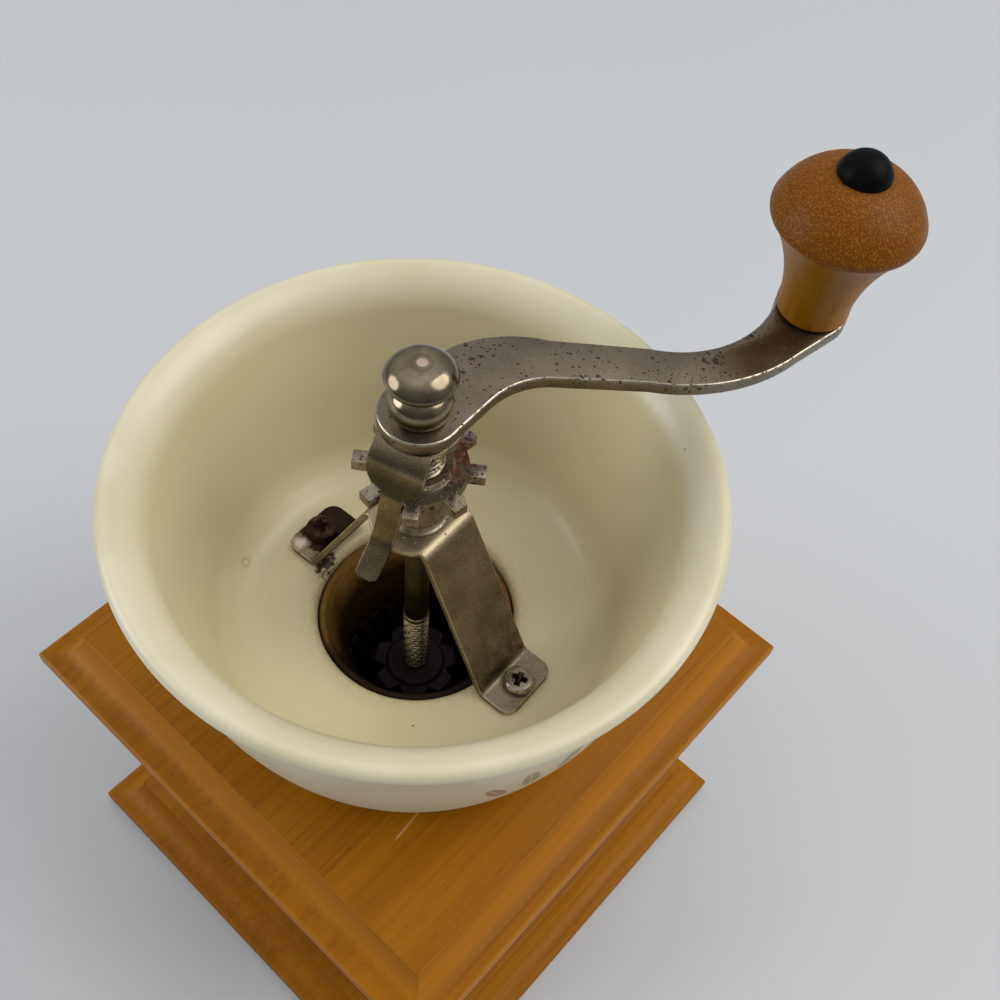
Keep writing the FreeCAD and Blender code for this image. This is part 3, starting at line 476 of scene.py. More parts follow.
def lathe(name, outline, steps=96, edge=0.3):
    """A turned piece: its outline of (radius, height) in millimetres spun round an upright axis."""
    start = outline[0]
    bpy.ops.mesh.primitive_plane_add(size=mm)
    piece = bpy.context.object
    piece.name = name
    bpy.ops.object.mode_set(mode="EDIT")
    bpy.ops.mesh.merge(type="CENTER")
    bpy.ops.transform.translate(value=(start[0] * mm, 0, start[1] * mm))
    for before, after in zip(outline, outline[1:]):
        stride = ((after[0] - before[0]) * mm, 0, (after[1] - before[1]) * mm)
        bpy.ops.mesh.extrude_vertices_move(TRANSFORM_OT_translate={"value": stride})
    bpy.ops.mesh.select_all(action="SELECT")
    bpy.ops.mesh.spin(steps=steps, angle=math.tau, center=(0, 0, 0), axis=(0, 0, 1))
    bpy.ops.mesh.select_all(action="SELECT")
    bpy.ops.mesh.remove_doubles(threshold=0.002 * mm)
    leave_edit()
    ease(piece, edge * mm)
    return piece


def cross_recess(piece, top, reach=2.4 * mm, depth=1.6 * mm, tip=0.5 * mm, slim=0.33,
                 proud=0.1 * mm):
    """Strikes a cross recess into a screw's head, with arms that narrow towards their floor."""
    for turn in (0, math.pi / 2):
        bpy.ops.mesh.primitive_cone_add(
            vertices=4, radius1=tip, radius2=reach * math.sqrt(2), depth=depth + 2 * proud,
            location=(0, 0, top - depth / 2 + proud))
        arm = bpy.context.object
        bpy.ops.object.mode_set(mode="EDIT")
        bpy.ops.mesh.select_all(action="SELECT")
        bpy.ops.transform.rotate(value=math.pi / 4, orient_axis="Z", center_override=arm.location)
        bpy.ops.transform.resize(value=(1, slim, 1), center_override=arm.location)
        bpy.ops.object.mode_set(mode="OBJECT")
        put(arm, turn=(0, 0, turn), move=arm.location)
        carve(piece, arm)


def copy_of(piece, name):
    """A second piece of the same shape, with a mesh of its own."""
    twin = bpy.data.objects.new(name, piece.data.copy())
    bpy.context.scene.collection.objects.link(twin)
    return twin


screw_zinc = plated("screw zinc", zinc_dark, zinc_pale)
head_sunk = 0.3
flat_screw = lathe("flat_screw", [
    (0, 24), (1.75, 19), (1.75, 2 + head_sunk), (3.45, head_sunk), (0, head_sunk)], steps=48, edge=0.15)
put(flat_screw, turn=(math.pi, 0, 0))
cross_recess(flat_screw, -head_sunk * mm)
put(flat_screw, turn=(math.pi, 0, 0))
for index, spot in enumerate(screw_places):
    screw = copy_of(flat_screw, f"base_screw_{index + 1}")
    put(screw, move=(spot.x, spot.y, 0))
    ease(screw, 0)
    end = "rear" if spot.y > 0 else "front"
    side = "right" if spot.x > 0 else "left"
    fit(screw, screw_zinc, "base", "screw_steel", f"base_screw_{end}_{side}")
bpy.data.objects.remove(flat_screw)


# The deck is a second moulded board, the same way up as the base, with the bean throat bored
# through its middle. Its grain runs from side to side, so its left and right edges are end grain.
deck_board = moulded_board("deck_board", "top_plate")
deck_low, deck_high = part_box("top_plate")
throat_radius = 16 * mm
bpy.ops.mesh.primitive_cylinder_add(
    vertices=96, radius=throat_radius, depth=40 * mm, location=(0, 0, deck_low.z))
carve(deck_board, bpy.context.object)
ease(deck_board, 0.3 * mm)
deck_wood = wood("deck wood", along_x, (0.04, -14 * mm, -52 * mm), honey)
coffee_black_and_shade = tone(24, 13, 8)


def shade_over(finish, share, shade):
    """Lays a second colour over what a finish already has, by the given share."""
    colour = Wire(finish, finish.shader.inputs["Base Color"].links[0].from_socket)
    finish.surface(Base_Color=finish.mix(share, colour, shade))


def throat_stain_and_shade(finish, shade, reach, floor, top):
    """Darkens a finish inside the given radius, from the top level down to the floor level: coffee
    stain and painted shade.
    """
    here = finish.place()
    blotch = finish.noise(here, 4 * mm, detail=4, rough=0.7)
    share = finish.step(finish.radius(here), reach + 0.3 * mm, reach) * finish.step(
        finish.axis(here, "Z") + (blotch - 0.5) * (8 * mm), top, floor)
    shade_over(finish, share * 0.94, shade)


# Painted sheen: the deck's sloping faces are painted paler, standing for the lacquer's reflection on
# them.
deck_facing = deck_wood.axis(deck_wood.normal(), "Z")
painted_slope_sheen = deck_wood.step(deck_facing, 0.95, 0.80) * deck_wood.step(deck_facing, -0.2, 0.2)
shade_over(deck_wood, painted_slope_sheen * 0.34, tone(206, 138, 44))
# Coffee stain and painted shade: the throat's bore is painted nearly black.
throat_stain_and_shade(deck_wood, coffee_black_and_shade, throat_radius + 0.5 * mm, deck_high.z + 1 * mm, deck_high.z + 6 * mm)
deck_x, deck_y = (deck_wood.axis(deck_wood.place(), letter) for letter in "XY")
scratch_off = abs(deck_y + 28 * mm - deck_x * 0.09)
scratch = deck_wood.step(scratch_off, 0.34 * mm, 0.10 * mm) * deck_wood.step(
    deck_x, -38.5 * mm, -37 * mm) * deck_wood.step(deck_x, -28.8 * mm, -30.5 * mm)
shade_over(deck_wood, scratch * 0.55, tone(206, 170, 118))
fit(deck_board, deck_wood, "base", "lacquered_wood", "top_plate")


# The drawer is a loose box with a lacquered front: bare sides and back, a thin floor let into
# grooves, and a small turned pull that a pan head screw holds from inside.
bare = tone(150, 112, 66), tone(190, 152, 102), tone(208, 176, 130), tone(140, 98, 56)
front_wood = wood("drawer front wood", along_x, (0.01, 60 * mm, 22 * mm), honey)
bare_wood = wood("bare wood", along_y, (0, 30 * mm, 30 * mm), bare, roughness=0.62)
fit(board("drawer_face", "drawer_front", 0.8 * mm), front_wood, "drawer", "lacquered_wood",
    "drawer_front")
for name in ("drawer_left", "drawer_right", "drawer_back", "drawer_bottom"):
    edge = 0.2 * mm if name == "drawer_bottom" else 0.4 * mm
    fit(board(name.replace("drawer", "tray"), name, edge), bare_wood, "drawer", "plain_wood", name)

knob_dark, knob_mid, knob_pale = tone(104, 60, 2), tone(136, 86, 6), tone(154, 102, 14)
pull_back, pull_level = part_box("drawer_pull")[1].y, middle("drawer_pull").z
pull = lathe("pull", [
    (0, 10), (3.2, 10), *arc((3.2, 10), (7.5, 6.4), 4.6, left=False, steps=10),
    *arc((7.5, 6.4), (4, 2), 5, left=False, steps=10), (4, 0), (0, 0)], steps=72, edge=0.2)
put(pull, turn=(math.pi / 2, 0, 0), move=(0, pull_back, pull_level))
pull_wood = wood("pull wood", along_y, (0, 2 * mm, pull_level - 31 * mm),
                 (knob_dark, knob_mid, knob_pale, tone(96, 52, 12)))
fit(pull, pull_wood, "drawer", "knob_wood", "drawer_pull")


# The pan head wood screws hold the bridge to the deck through the bowl's floor, and one holds the
# pull. They are zinc plated and dulled, and the two bridge screws' recesses are painted dark as
# painted shade.
pan_height = 2.3


def pan_head(name, shank):
    """A pan head wood screw standing on its seat at zero."""
    piece = lathe(name, [
        (0, -shank), (0.2, -shank), (1.75, 5 - shank), (1.75, 0), (3.45, 0), (3.45, 1.0),
        *arc((3.45, 1.0), (2.6, 2.05), 1.1, steps=6), *arc((2.6, 2.05), (0, pan_height), 14, steps=4)],
        steps=64, edge=0.15)
    cross_recess(piece, pan_height * mm)
    ease(piece, 0)
    return piece


front_board = 8 * mm
pull_screw = pan_head("pull_fixing", 14)
put(pull_screw, turn=(-math.pi / 2, 0, 0), move=(0, pull_back + front_board, pull_level))
fit(pull_screw, screw_zinc, "drawer", "screw_steel", "pull_screw")
screw_front, screw_rear = middle("bracket_screw_front"), middle("bracket_screw_rear")
foot_zinc = plated("foot screw zinc", zinc_dark, zinc_pale, crowd=0.05,
                   rust=(((screw_rear.x, screw_rear.y, deck_high.z + 16 * mm), 12 * mm, 1),))
soot_and_shade = tone(38, 24, 20)

# Painted shade fills the two recesses: it starts a little under the head's top.
head_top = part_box("bracket_screw_front")[1].z
zinc_here = foot_zinc.place()
zinc_y, zinc_level = (foot_zinc.axis(zinc_here, letter) for letter in "YZ")
for spot in (screw_front, screw_rear):
    beside = foot_zinc.away(foot_zinc.flat(zinc_here), (spot.x, spot.y, 0))
    recess_shade = foot_zinc.step(beside, 2.5 * mm, 2.3 * mm) * foot_zinc.step(
        zinc_level, head_top - 0.25 * mm, head_top - 0.55 * mm)
    shade_over(foot_zinc, recess_shade * 0.85, soot_and_shade)
shade_over(foot_zinc, foot_zinc.step(zinc_y, 0, 10 * mm) * foot_zinc.step(
    foot_zinc.noise(zinc_here, 2 * mm, detail=3), 0.30, 0.52) * 0.85, soot_and_shade)
for side, spot, turn in (("front", screw_front, 0.35), ("rear", screw_rear, 1.1)):
    screw = pan_head(f"bridge_screw_{side}", 23)
    put(screw, turn=(0, 0, turn), move=(spot.x, spot.y, head_top - pan_height * mm))
    fit(screw, foot_zinc, "base", "screw_steel", f"bracket_screw_{side}")


# A turned wooden ring stands in the bowl's hole and leads the beans to the throat. It is stained
# with coffee and painted darker down its funnel and on its near side as painted shade, and the
# burrs below it lie in the dark.
oiled = tone(72, 48, 18), tone(116, 84, 36), tone(136, 102, 48), tone(88, 62, 26)
ring_wood = wood("ring wood", along_x, (0, -14 * mm, -52 * mm), oiled, roughness=0.5)
# Coffee stain and painted shade: the ring is painted darker down its funnel towards the throat.
throat_stain_and_shade(ring_wood, coffee_black_and_shade, 21 * mm, deck_high.z + 2 * mm, deck_high.z + 10 * mm)
# Painted shade: the ring's near side, towards -X and -Y, is painted nearly black.
near_side_shade = ring_wood.dot(ring_wood.place(), (-0.72, -0.69, 0))
shade_over(ring_wood, ring_wood.step(near_side_shade, 4 * mm, 12 * mm) * 0.94, coffee_black_and_shade)
bean_ring = lathe("bean_ring", [
    (16, 0), (21.9, 0), (21.9, 10.5), (21.5, 10.9), (20.6, 10.9), (16, 0)], steps=128, edge=0.2)
put(bean_ring, move=(0, 0, deck_high.z))
fit(bean_ring, ring_wood, "base", "plain_wood", "throat_ring")


# The burrs are hardened cast iron, dark with oil and old coffee and darkened more as painted shade;
# the bridge under them is pressed steel with a brass bush. They keep their CAD shapes.
def dress(node, finish):
    """Gives a CAD node that keeps its own shape a material."""
    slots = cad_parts[node].data.materials
    slots.clear()
    slots.append(finish.material)


iron = Finish("burr iron")
iron_here = iron.place()
iron_clouds = iron.noise(iron_here, 3 * mm, detail=4, rough=0.65)
iron_grain = iron.noise(iron_here, 0.35 * mm, detail=3, rough=0.7)
iron.surface(
    Base_Color=iron.mix(iron.step(iron_clouds, 0.35, 0.7), tone(26, 13, 9), tone(58, 33, 24)),
    Metallic=0.5, Roughness=iron_clouds * 0.3 + 0.45,
    Normal=iron.relief(iron_grain, 0.08 * mm))
# Painted shade: the iron is darkened by half, for the burrs that lie in the dark hole.
shade_over(iron, 0.5, tone(12, 9, 7))
brass = Finish("bush brass")
brass_clouds = brass.noise(brass.place(), 4 * mm, detail=3)
brass.surface(
    Base_Color=brass.mix(brass_clouds, tone(150, 118, 62), tone(196, 164, 96)),
    Metallic=1.0, Roughness=brass_clouds * 0.25 + 0.25)
dull_steel = plated("dull steel", tone(70, 66, 58), tone(124, 118, 106), crowd=0.05)
for finish, nodes in (
        (iron, ("outer_burr", "inner_burr")), (brass, ("lower_bush",)),
        (screw_zinc, ("burr_nut", "burr_screw_left", "burr_screw_right")),
        (dull_steel, ("lower_bridge", "knob_axle"))):
    for node in nodes:
        dress(node, finish)


# The hopper is slip cast stoneware under a cream glaze, with a wide rolled lip, a groove below it
# and a flat holed floor. Coffee dust lies in it, and a leaf sprig is printed on its front.
cream, cream_shade, cream_painted_shade = tone(222, 214, 184), tone(213, 205, 170), tone(216, 206, 164)
coffee_dust, speck_brown = tone(62, 44, 24), tone(58, 54, 30)
leaf_green, leaf_brown = tone(132, 138, 104), tone(132, 112, 84)
bowl_low, bowl_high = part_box("hopper_bowl")
bowl = lathe("bowl", [
    (22.3, 7), (37, 7), (38, 0.3), (38.4, 0), (41.6, 0), (42.6, 0.4), (43, 1.2),
    *arc((43, 3), (55.5, 51), 100, steps=26), (55.5, 56.6), (55.9, 57.8), (59.8, 59.9),
    *arc((59.8, 59.9), (61, 61.2), 1.4, steps=4), *arc((61, 61.2), (58.6, 63), 2.1, steps=8),
    *arc((58.6, 63), (51.8, 55), 11.4, steps=16), (48.0, 38.5), (44.1, 22),
    *arc((44.1, 22), (33.2, 13), 11.6, left=False, steps=18), (24.3, 13),
    *arc((24.3, 13), (22.3, 11), 2.0, steps=6), (22.3, 7)], steps=192, edge=0.5)
put(bowl, move=(0, 0, bowl_low.z))

glaze = Finish("cream glaze")
glaze_here = glaze.place()
glaze_x, glaze_y, glaze_z = (glaze.axis(glaze_here, letter) for letter in "XYZ")
from_axis = glaze.radius(glaze_here)
clouds = glaze.noise(glaze_here, 28 * mm, detail=3)
glaze_tone = glaze.mix(glaze.step(clouds, 0.35, 0.65), cream, cream_shade)
# Painted shade: the inner walls below the rim take a deeper, yellower cream, standing for the shade and
# reflected light inside the bowl.
out_of_axis = glaze.node("VectorMath", {0: glaze.flat(glaze_here)}, operation="NORMALIZE")
inside = glaze.step(glaze.dot(glaze.normal(), out_of_axis), 0.25, 0.0) * glaze.step(
    glaze_z, bowl_high.z - 2 * mm, bowl_high.z - 9 * mm)
glaze_tone = glaze.mix(inside * 0.9, glaze_tone, cream_painted_shade)


def smudge(place, near, far):
    """1 inside the near distance of a place in millimetres, and 0 outside the far one."""
    away = glaze.away(glaze_here, tuple(value * mm for value in place))
    return glaze.step(away, far * mm, near * mm)


# Coffee has browned the glaze round the hole, and lies as dust by the bridge's feet.
grains = glaze.noise(glaze_here, 1.1 * mm, detail=4, rough=0.75)
halo = glaze.step(from_axis, 28 * mm, 22.5 * mm) * glaze.step(
    glaze_z, deck_high.z + 14 * mm, deck_high.z + 13 * mm)
glaze_tone = glaze.mix(halo * glaze.step(grains, 0.3, 0.7) * 0.24, glaze_tone, tone(150, 124, 78))
dust = smudge((-7.5, 22, 113), 1.2, 6) + smudge((-3, 28, 113), 3, 9) * 0.9
dust = dust + smudge((-4, -25, 113), 0, 4) * 0.5
glaze_tone = glaze.mix(glaze.step(grains + dust * 0.38, 0.84, 0.96), glaze_tone, coffee_dust)
from_speck, drawn = glaze.cells(glaze_here, 5 * mm)
specks = glaze.step(from_speck, 0.055, 0.03) * glaze.step(drawn, 0.86, 0.87)
for place, size in (
        ((40.3, -4.9, 115.6), 0.42), ((-21.1, -19.8, 113), 0.3), ((22.8, -41.6, 133.6), 0.3),
        ((19.4, -51.4, 159.6), 0.35), ((-38, 12, 131), 0.25), ((8, 50, 146), 0.25)):
    specks = specks + smudge(place, size * 0.6, size)
glaze_tone = glaze.mix(specks * 0.85, glaze_tone, speck_brown)
drop = (-20, 34.9, 115.3)
drip = smudge(drop, 0.7, 1.7) - smudge(drop, 0.3, 1.2)
glaze_tone = glaze.mix(drip * 0.5, glaze_tone, tone(150, 132, 84))

# The sprig is a transfer under the glaze: leaves in pairs on a curved stem, on the front.
sprig_turn, sprig_level, bowl_body, stem_half = math.radians(-104), 128, 54.5, 17
turn = glaze.node("Math", {0: glaze_y, 1: glaze_x}, operation="ARCTAN2") - sprig_turn
aside, above = turn * bowl_body, glaze_z / mm - sprig_level
outside = glaze.step(from_axis, 47 * mm, 48 * mm) * glaze.step(
    glaze_z, bowl_high.z - 6 * mm, bowl_high.z - 7 * mm)
stem_away = above - aside * 0.30 + aside * aside * 0.012
stem = glaze.step(abs(stem_away), 0.42, 0.2) * glaze.step(
    abs(aside), stem_half + 0.5, stem_half - 0.5)
sprig_tone = glaze.mix(stem * outside * 0.7, glaze_tone, leaf_brown)
slim = 0.36
for leaf_aside, leaf_above, lean, size, shade in (
        (-14.5, 4.5, 2.0, 5.0, leaf_brown), (-7.5, 6.5, 1.7, 5.6, leaf_green),
        (1, 8, 1.3, 5.6, leaf_green), (8.5, 7.5, 0.9, 5.0, leaf_brown),
        (-12.5, -9.5, 4.0, 4.6, leaf_green), (-4.5, -6, 4.4, 5.4, leaf_green),
        (4.0, -3.8, 4.9, 5.4, leaf_brown), (11.5, -3.4, 5.3, 4.8, leaf_green),
        (18.5, 1.0, 0.0, 4.6, leaf_green)):
    right, up = aside - leaf_aside, above - leaf_above
    along = right * math.cos(lean) + up * math.sin(lean)
    across = up * math.cos(lean) - right * math.sin(lean)
    squared = (along * along) / size ** 2 + (across * across) / (size * slim) ** 2
    reach = glaze.node("Math", {0: squared}, operation="SQRT")
    rib = glaze.step(abs(across), 0.12, 0.30)
    leaf = glaze.step(reach + (grains - 0.5) * 0.2, 1.0, 0.86) * (rib * 0.6 + 0.4) * outside
    sprig_tone = glaze.mix(leaf * 0.8, sprig_tone, shade)
waves = glaze.noise(glaze_here, 14 * mm, detail=1)
glaze.surface(
    Base_Color=sprig_tone, Roughness=clouds * 0.10 + dust * 0.15 + 0.25,
    Normal=glaze.relief(waves + specks * 0.2, 0.16 * mm))
fit(bowl, glaze, "base", "cream_glaze", "hopper_bowl")


# The bridge over the throat is one strip of nickel plated steel, blanked with a disc in its middle
# and bent four times. Its plating is pitted, and coffee has blackened its rear foot.
nickel_dark, nickel_pale = tone(112, 101, 80), tone(152, 141, 118)
strap_thick = 1.5 * mm


def follow(route, step=0.5):
    """Points along a route of (along, height[, bend radius]) corners in millimetres."""
    points = [Vector(route[0][:2])]
    for before, corner, after in zip(route, route[1:], route[2:]):
        here = Vector(corner[:2])
        arriving = (here - Vector(before[:2])).normalized()
        leaving = (Vector(after[:2]) - here).normalized()
        turn = arriving.angle_signed(leaving)
        cut = corner[2] * math.tan(abs(turn) / 2)
        points.append(here - arriving * cut)
        points += [Vector(point) for point in arc(
            here - arriving * cut, here + leaving * cut, corner[2], left=turn < 0, steps=8)]
    points.append(Vector(route[-1][:2]))
    filled = [points[0]]
    for point in points[1:]:
        gap = point - filled[-1]
        count = max(round(gap.length / step), 1)
        filled += [filled[-1] + gap * share / count for share in range(1, count + 1)]
    return filled


def strip(name, route, half_width, thick, ends=(3, 3), edge=0.3):
    """A blank of sheet steel bent along a route, half_width(point) wide on each side of it."""
    way = follow(route)
    runs = [0.0]
    for before, after in zip(way, way[1:]):
        runs.append(runs[-1] + (after - before).length)
    rows = len(way)
    bpy.ops.mesh.primitive_grid_add(x_subdivisions=rows - 1, y_subdivisions=8, size=2)
    piece = bpy.context.object
    piece.name = name
    for vertex in piece.data.vertices:
        row = round((vertex.co.x + 1) / 2 * (rows - 1))
        point, run = way[row], runs[row]
        half = half_width(point)
        for corner, left_over in ((ends[0], run), (ends[1], runs[-1] - run)):
            if left_over < corner:
                half += math.sqrt(max(corner ** 2 - (corner - left_over) ** 2, 0.02)) - corner
        vertex.co = Vector((point.x, vertex.co.y * half, point.y)) * mm
    sheet = piece.modifiers.new("sheet", "SOLIDIFY")
    sheet.thickness = thick
    sheet.offset = 0
    sheet.use_even_offset = True
    choose(piece)
    bpy.ops.object.modifier_apply(modifier=sheet.name)
    ease(piece, edge * mm, limit=50)
    return piece


def bridge_half(point):
    """Half the bridge's width at a place along it."""
    away = abs(point.x)
    return max(min(7.04 + away / 35, 7.75), 0.6 + math.sqrt(max(9.5 ** 2 - away ** 2, 0)))


bridge_low, bridge_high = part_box("bracket")
bridge_turn = math.radians(3)
bridge = strip("bridge", [
    (-33.4, 0.75), (-25, 0.75, 2.2), (-7.5, 37.75, 2.2), (7.5, 37.75, 2.2), (25, 0.75, 2.2),
    (33.4, 0.75)], bridge_half, strap_thick)
put(bridge, turn=(0, 0, math.pi / 2 + bridge_turn), move=(0, 0, bridge_low.z))
foot_level = bridge_low.z + strap_thick
across_bridge = (math.cos(bridge_turn), math.sin(bridge_turn), 0)
front_bend = screw_front.y * 0.82
bridge_nickel = plated(
    "bridge nickel", nickel_dark, nickel_pale, roughness=0.46, crowd=-0.14, arris=across_bridge,
    rust=(((screw_front.x + 6 * mm, front_bend, foot_level + 1 * mm), 3.2 * mm, 0.8),
          ((screw_front.x - 6.5 * mm, front_bend, foot_level + 1 * mm), 3.0 * mm, 0.8)))
bridge_here = bridge_nickel.place()
bridge_y, bridge_z = (bridge_nickel.axis(bridge_here, letter) for letter in "YZ")
# Painted shade: the rear leg's face turned towards the middle, under the bridge, is painted dark brown.
turned_under = bridge_nickel.axis(bridge_nickel.normal(), "Y")
rear_inner_shade = bridge_nickel.step(bridge_y, 7 * mm, 9 * mm) * bridge_nickel.step(turned_under, -0.3, -0.6)
shade_over(bridge_nickel, rear_inner_shade * 0.85, tone(56, 42, 24))
foot_blotch = bridge_nickel.noise(bridge_here, 3 * mm, detail=4, rough=0.65)
from_screw = bridge_nickel.away(
    bridge_here, (screw_rear.x + 1.5 * mm, screw_rear.y - 0.5 * mm, foot_level))
sooted = bridge_nickel.step(from_screw + (foot_blotch - 0.5) * (7 * mm), 8.0 * mm, 6.5 * mm)
shade_over(bridge_nickel, sooted * 0.93, soot_and_shade)
to_tip = bridge_nickel.away(bridge_here, (-7.2 * mm, 30.6 * mm, foot_level))
bright_tip = bridge_nickel.step(to_tip + (foot_blotch - 0.5) * (5 * mm), 2.6 * mm, 0.4 * mm)
shade_over(bridge_nickel, bright_tip * 0.8, tone(236, 216, 204))
# Painted light: the disc's top is painted paler, for the light that the wheel above keeps from it.
disc_painted_light = bridge_nickel.step(bridge_z, bridge_high.z - 0.7 * mm, bridge_high.z - 0.3 * mm)
shade_over(bridge_nickel, disc_painted_light * 0.55, tone(198, 184, 146))
# The legs are painted darker in patches towards the feet.
dark_near_feet = bridge_nickel.step(bridge_z, foot_level + 13 * mm, foot_level + 3 * mm)
dark_near_feet = dark_near_feet * bridge_nickel.step(bridge_z, foot_level + 0.2 * mm, foot_level + 2 * mm)
dark_near_feet = dark_near_feet * bridge_nickel.step(foot_blotch, 0.38, 0.62)
shade_over(bridge_nickel, dark_near_feet * 0.55, soot_and_shade)
fit(bridge, bridge_nickel, "base", "nickel_plate", "bracket")

bush = lathe("bush", [
    (2.75, -2.9), (4.4, -2.9), (4.4, 0), (6.2, 0), (6.2, 0.5),
    *arc((6.2, 0.5), (5.2, 1.6), 1.8, left=False, steps=5), (5.2, 4.2), (4.8, 4.6), (2.75, 4.6),
    (2.75, -2.9)], steps=72, edge=0.25)
put(bush, move=(0, 0, bridge_high.z))
bush_nickel = plated("bush nickel", nickel_dark, nickel_pale, roughness=0.46, crowd=-0.1, wear_glint_share=0.2)
fit(bush, bush_nickel, "base", "nickel_plate", "bracket_bush")


# The shaft is turned steel with a rolled thread at its lower end, and a coarser thread above the
# bush on which the adjusting wheel sets the grind.
def rows_between(radius, low, high, step):
    """Points up a straight stretch, close enough together to carry a thread."""
    count = round((high - low) / step)
    return [(radius, low + (high - low) * row / count) for row in range(1, count + 1)]


def cut_thread(piece, radius, low, high, pitch, depth):
    """Presses a right hand thread into a straight stretch, running out at both ends."""
    for vertex in piece.data.vertices:
        across = math.hypot(vertex.co.x, vertex.co.y) / mm
        level = vertex.co.z / mm
        if abs(across - radius) < 0.05 and low < level < high:
            turn = math.atan2(vertex.co.y, vertex.co.x) / math.tau
            wave = abs(((level / pitch - turn) % 1) * 2 - 1)
            fade = min(1, (level - low) / pitch, (high - level) / pitch)
            shrink = 1 - depth * fade * min(wave * 1.25, 1) / radius
            vertex.co.x *= shrink
            vertex.co.y *= shrink


lower_thread, upper_thread = (3, 88, 111.2), (5, 168.2, 178.6)
groove_depth = 0.62
shaft = lathe("shaft_steel", [
    (0, 54.3), (2.2, 54.3), (2.6, 54.7), (2.6, 59.4), (3, 59.8), lower_thread[:2],
    *rows_between(*lower_thread, 0.125), (2.67, 111.6), (2.67, 157.17), (5, 157.17), upper_thread[:2],
    *rows_between(*upper_thread, 0.15), (4.6, 179.1), (3.4, 179.17), (3, 184), (3, 191.5),
    (2.6, 192.4), (0, 192.4)], steps=64, edge=0.12)
cut_thread(shaft, *lower_thread, 1.2, groove_depth)
cut_thread(shaft, *upper_thread, 1.35, groove_depth)
ease(shaft, 0)
shaft_finish = plated(
    "shaft steel", tone(100, 90, 66), tone(144, 133, 108), roughness=0.38, pits=0.5, crowd=-0.1,
    rust=(((0, 0, 102 * mm), 7 * mm, 0.7), ((2 * mm, -4 * mm, 173 * mm), 7 * mm, 0.95)))
shaft_here = shaft_finish.place()
shaft_out, shaft_level = shaft_finish.radius(shaft_here), shaft_finish.axis(shaft_here, "Z")
lower_groove = shaft_finish.step(shaft_out, 2.85 * mm, 2.55 * mm) * shaft_finish.step(
    shaft_level, 111.2 * mm, 110.8 * mm)
upper_groove = shaft_finish.step(shaft_out, 4.85 * mm, 4.5 * mm) * shaft_finish.step(
    shaft_level, 168 * mm, 168.4 * mm)
shade_over(shaft_finish, (lower_groove + upper_groove) * 0.9, tone(40, 28, 16))
fit(shaft, shaft_finish, "drive", "shaft_steel", "shaft")


# The adjusting wheel is a pressed disc with eight lugs on a threaded hub; the lock plate's tongue
# falls between two lugs. Both are nickel plated and the most rusted parts.
hub_top = 3.7
wheel_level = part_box("adjusting_wheel")[1].z - hub_top * mm
wheel_turn = math.radians(216.5)
wheel = lathe("setting_wheel", [
    (5.1, -9), (6.8, -9), (6.8, -2.2), *arc((6.8, -2.2), (9.6, 0), 3.0, left=False, steps=5),
    (9.6, 2.5), (6.9, 2.5), (6.4, hub_top), (5.1, hub_top), (5.1, -9)], steps=96, edge=0)
lug_reach, lug_root, lug_width, lug_thick = 12.8 * mm, 8.2 * mm, 3.0 * mm, 2.5 * mm
lug_count = 8
for index in range(lug_count):
    bpy.ops.mesh.primitive_cube_add(size=1, scale=(lug_reach - lug_root, lug_width, lug_thick))
    lug = bpy.context.object
    put(lug, move=((lug_reach + lug_root) / 2, 0, lug_thick / 2))
    put(lug, turn=(0, 0, math.tau * index / lug_count))
    carve(wheel, lug, "UNION")
put(wheel, turn=(0, 0, wheel_turn), move=(0, 0, wheel_level))
ease(wheel, 0.25 * mm, segments=2)
wheel_nickel = plated(
    "wheel nickel", tone(120, 108, 92), tone(170, 158, 144), crowd=0.34,
    rust=(((8 * mm, -5 * mm, wheel_level + 2 * mm), 9 * mm, 0.95),
          ((7 * mm, 4 * mm, wheel_level + 2 * mm), 7 * mm, 0.8),
          ((2 * mm, -7 * mm, wheel_level + 3 * mm), 4 * mm, 0.6)))
fit(wheel, wheel_nickel, "drive", "nickel_plate", "adjusting_wheel")


def plate_half(point, disc=8):
    """Half the lock plate's width: a disc, a broad flap with a round end, and a narrow tongue."""
    if point.y > 0 and point.x < 5.6:
        return math.sqrt(max(disc ** 2 - point.x ** 2, 0.3))
    fall = min(max((-3.6 - point.y) / 4.8, 0), 1)
    return 2.3 + 3.4 * math.sqrt(1 - fall * fall)


lock_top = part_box("lock_plate")[1].z
tongue_turn = math.radians(197)
lock = strip("lock_tongue", [
    (-7.98, 0.75), (8.9, 0.75, 5), (10.8, -17.5, 14), (12.2, -21.8, 8), (19.0, -27.0)],
    plate_half, strap_thick, ends=(0, 1.3))
swing_start, swing = 7 * mm, 0.08
for vertex in lock.data.vertices:
    vertex.co.y += min(vertex.co.z + swing_start, 0) * swing
put(lock, turn=(0, 0, tongue_turn), move=(0, 0, lock_top - strap_thick))
lock_nickel = plated(
    "lock nickel", tone(98, 86, 66), tone(140, 127, 102), roughness=0.26, crowd=-0.25,
    arris=(-math.sin(tongue_turn), math.cos(tongue_turn), 0),
    rust=(((-15 * mm, -4 * mm, lock_top - 26 * mm), 4 * mm, 0.3),))
# Painted shade: the flap hanging under the crank's eye is painted dark grey below its bend.
lock_z = lock_nickel.axis(lock_nickel.place(), "Z")
flap_painted_shade = lock_nickel.step(lock_z, 178 * mm, 173 * mm) * lock_nickel.step(
    lock_z, 168.6 * mm, 170.2 * mm)
shade_over(lock_nickel, flap_painted_shade * 0.8, tone(50, 51, 52))
fit(lock, lock_nickel, "drive", "nickel_plate", "lock_plate")


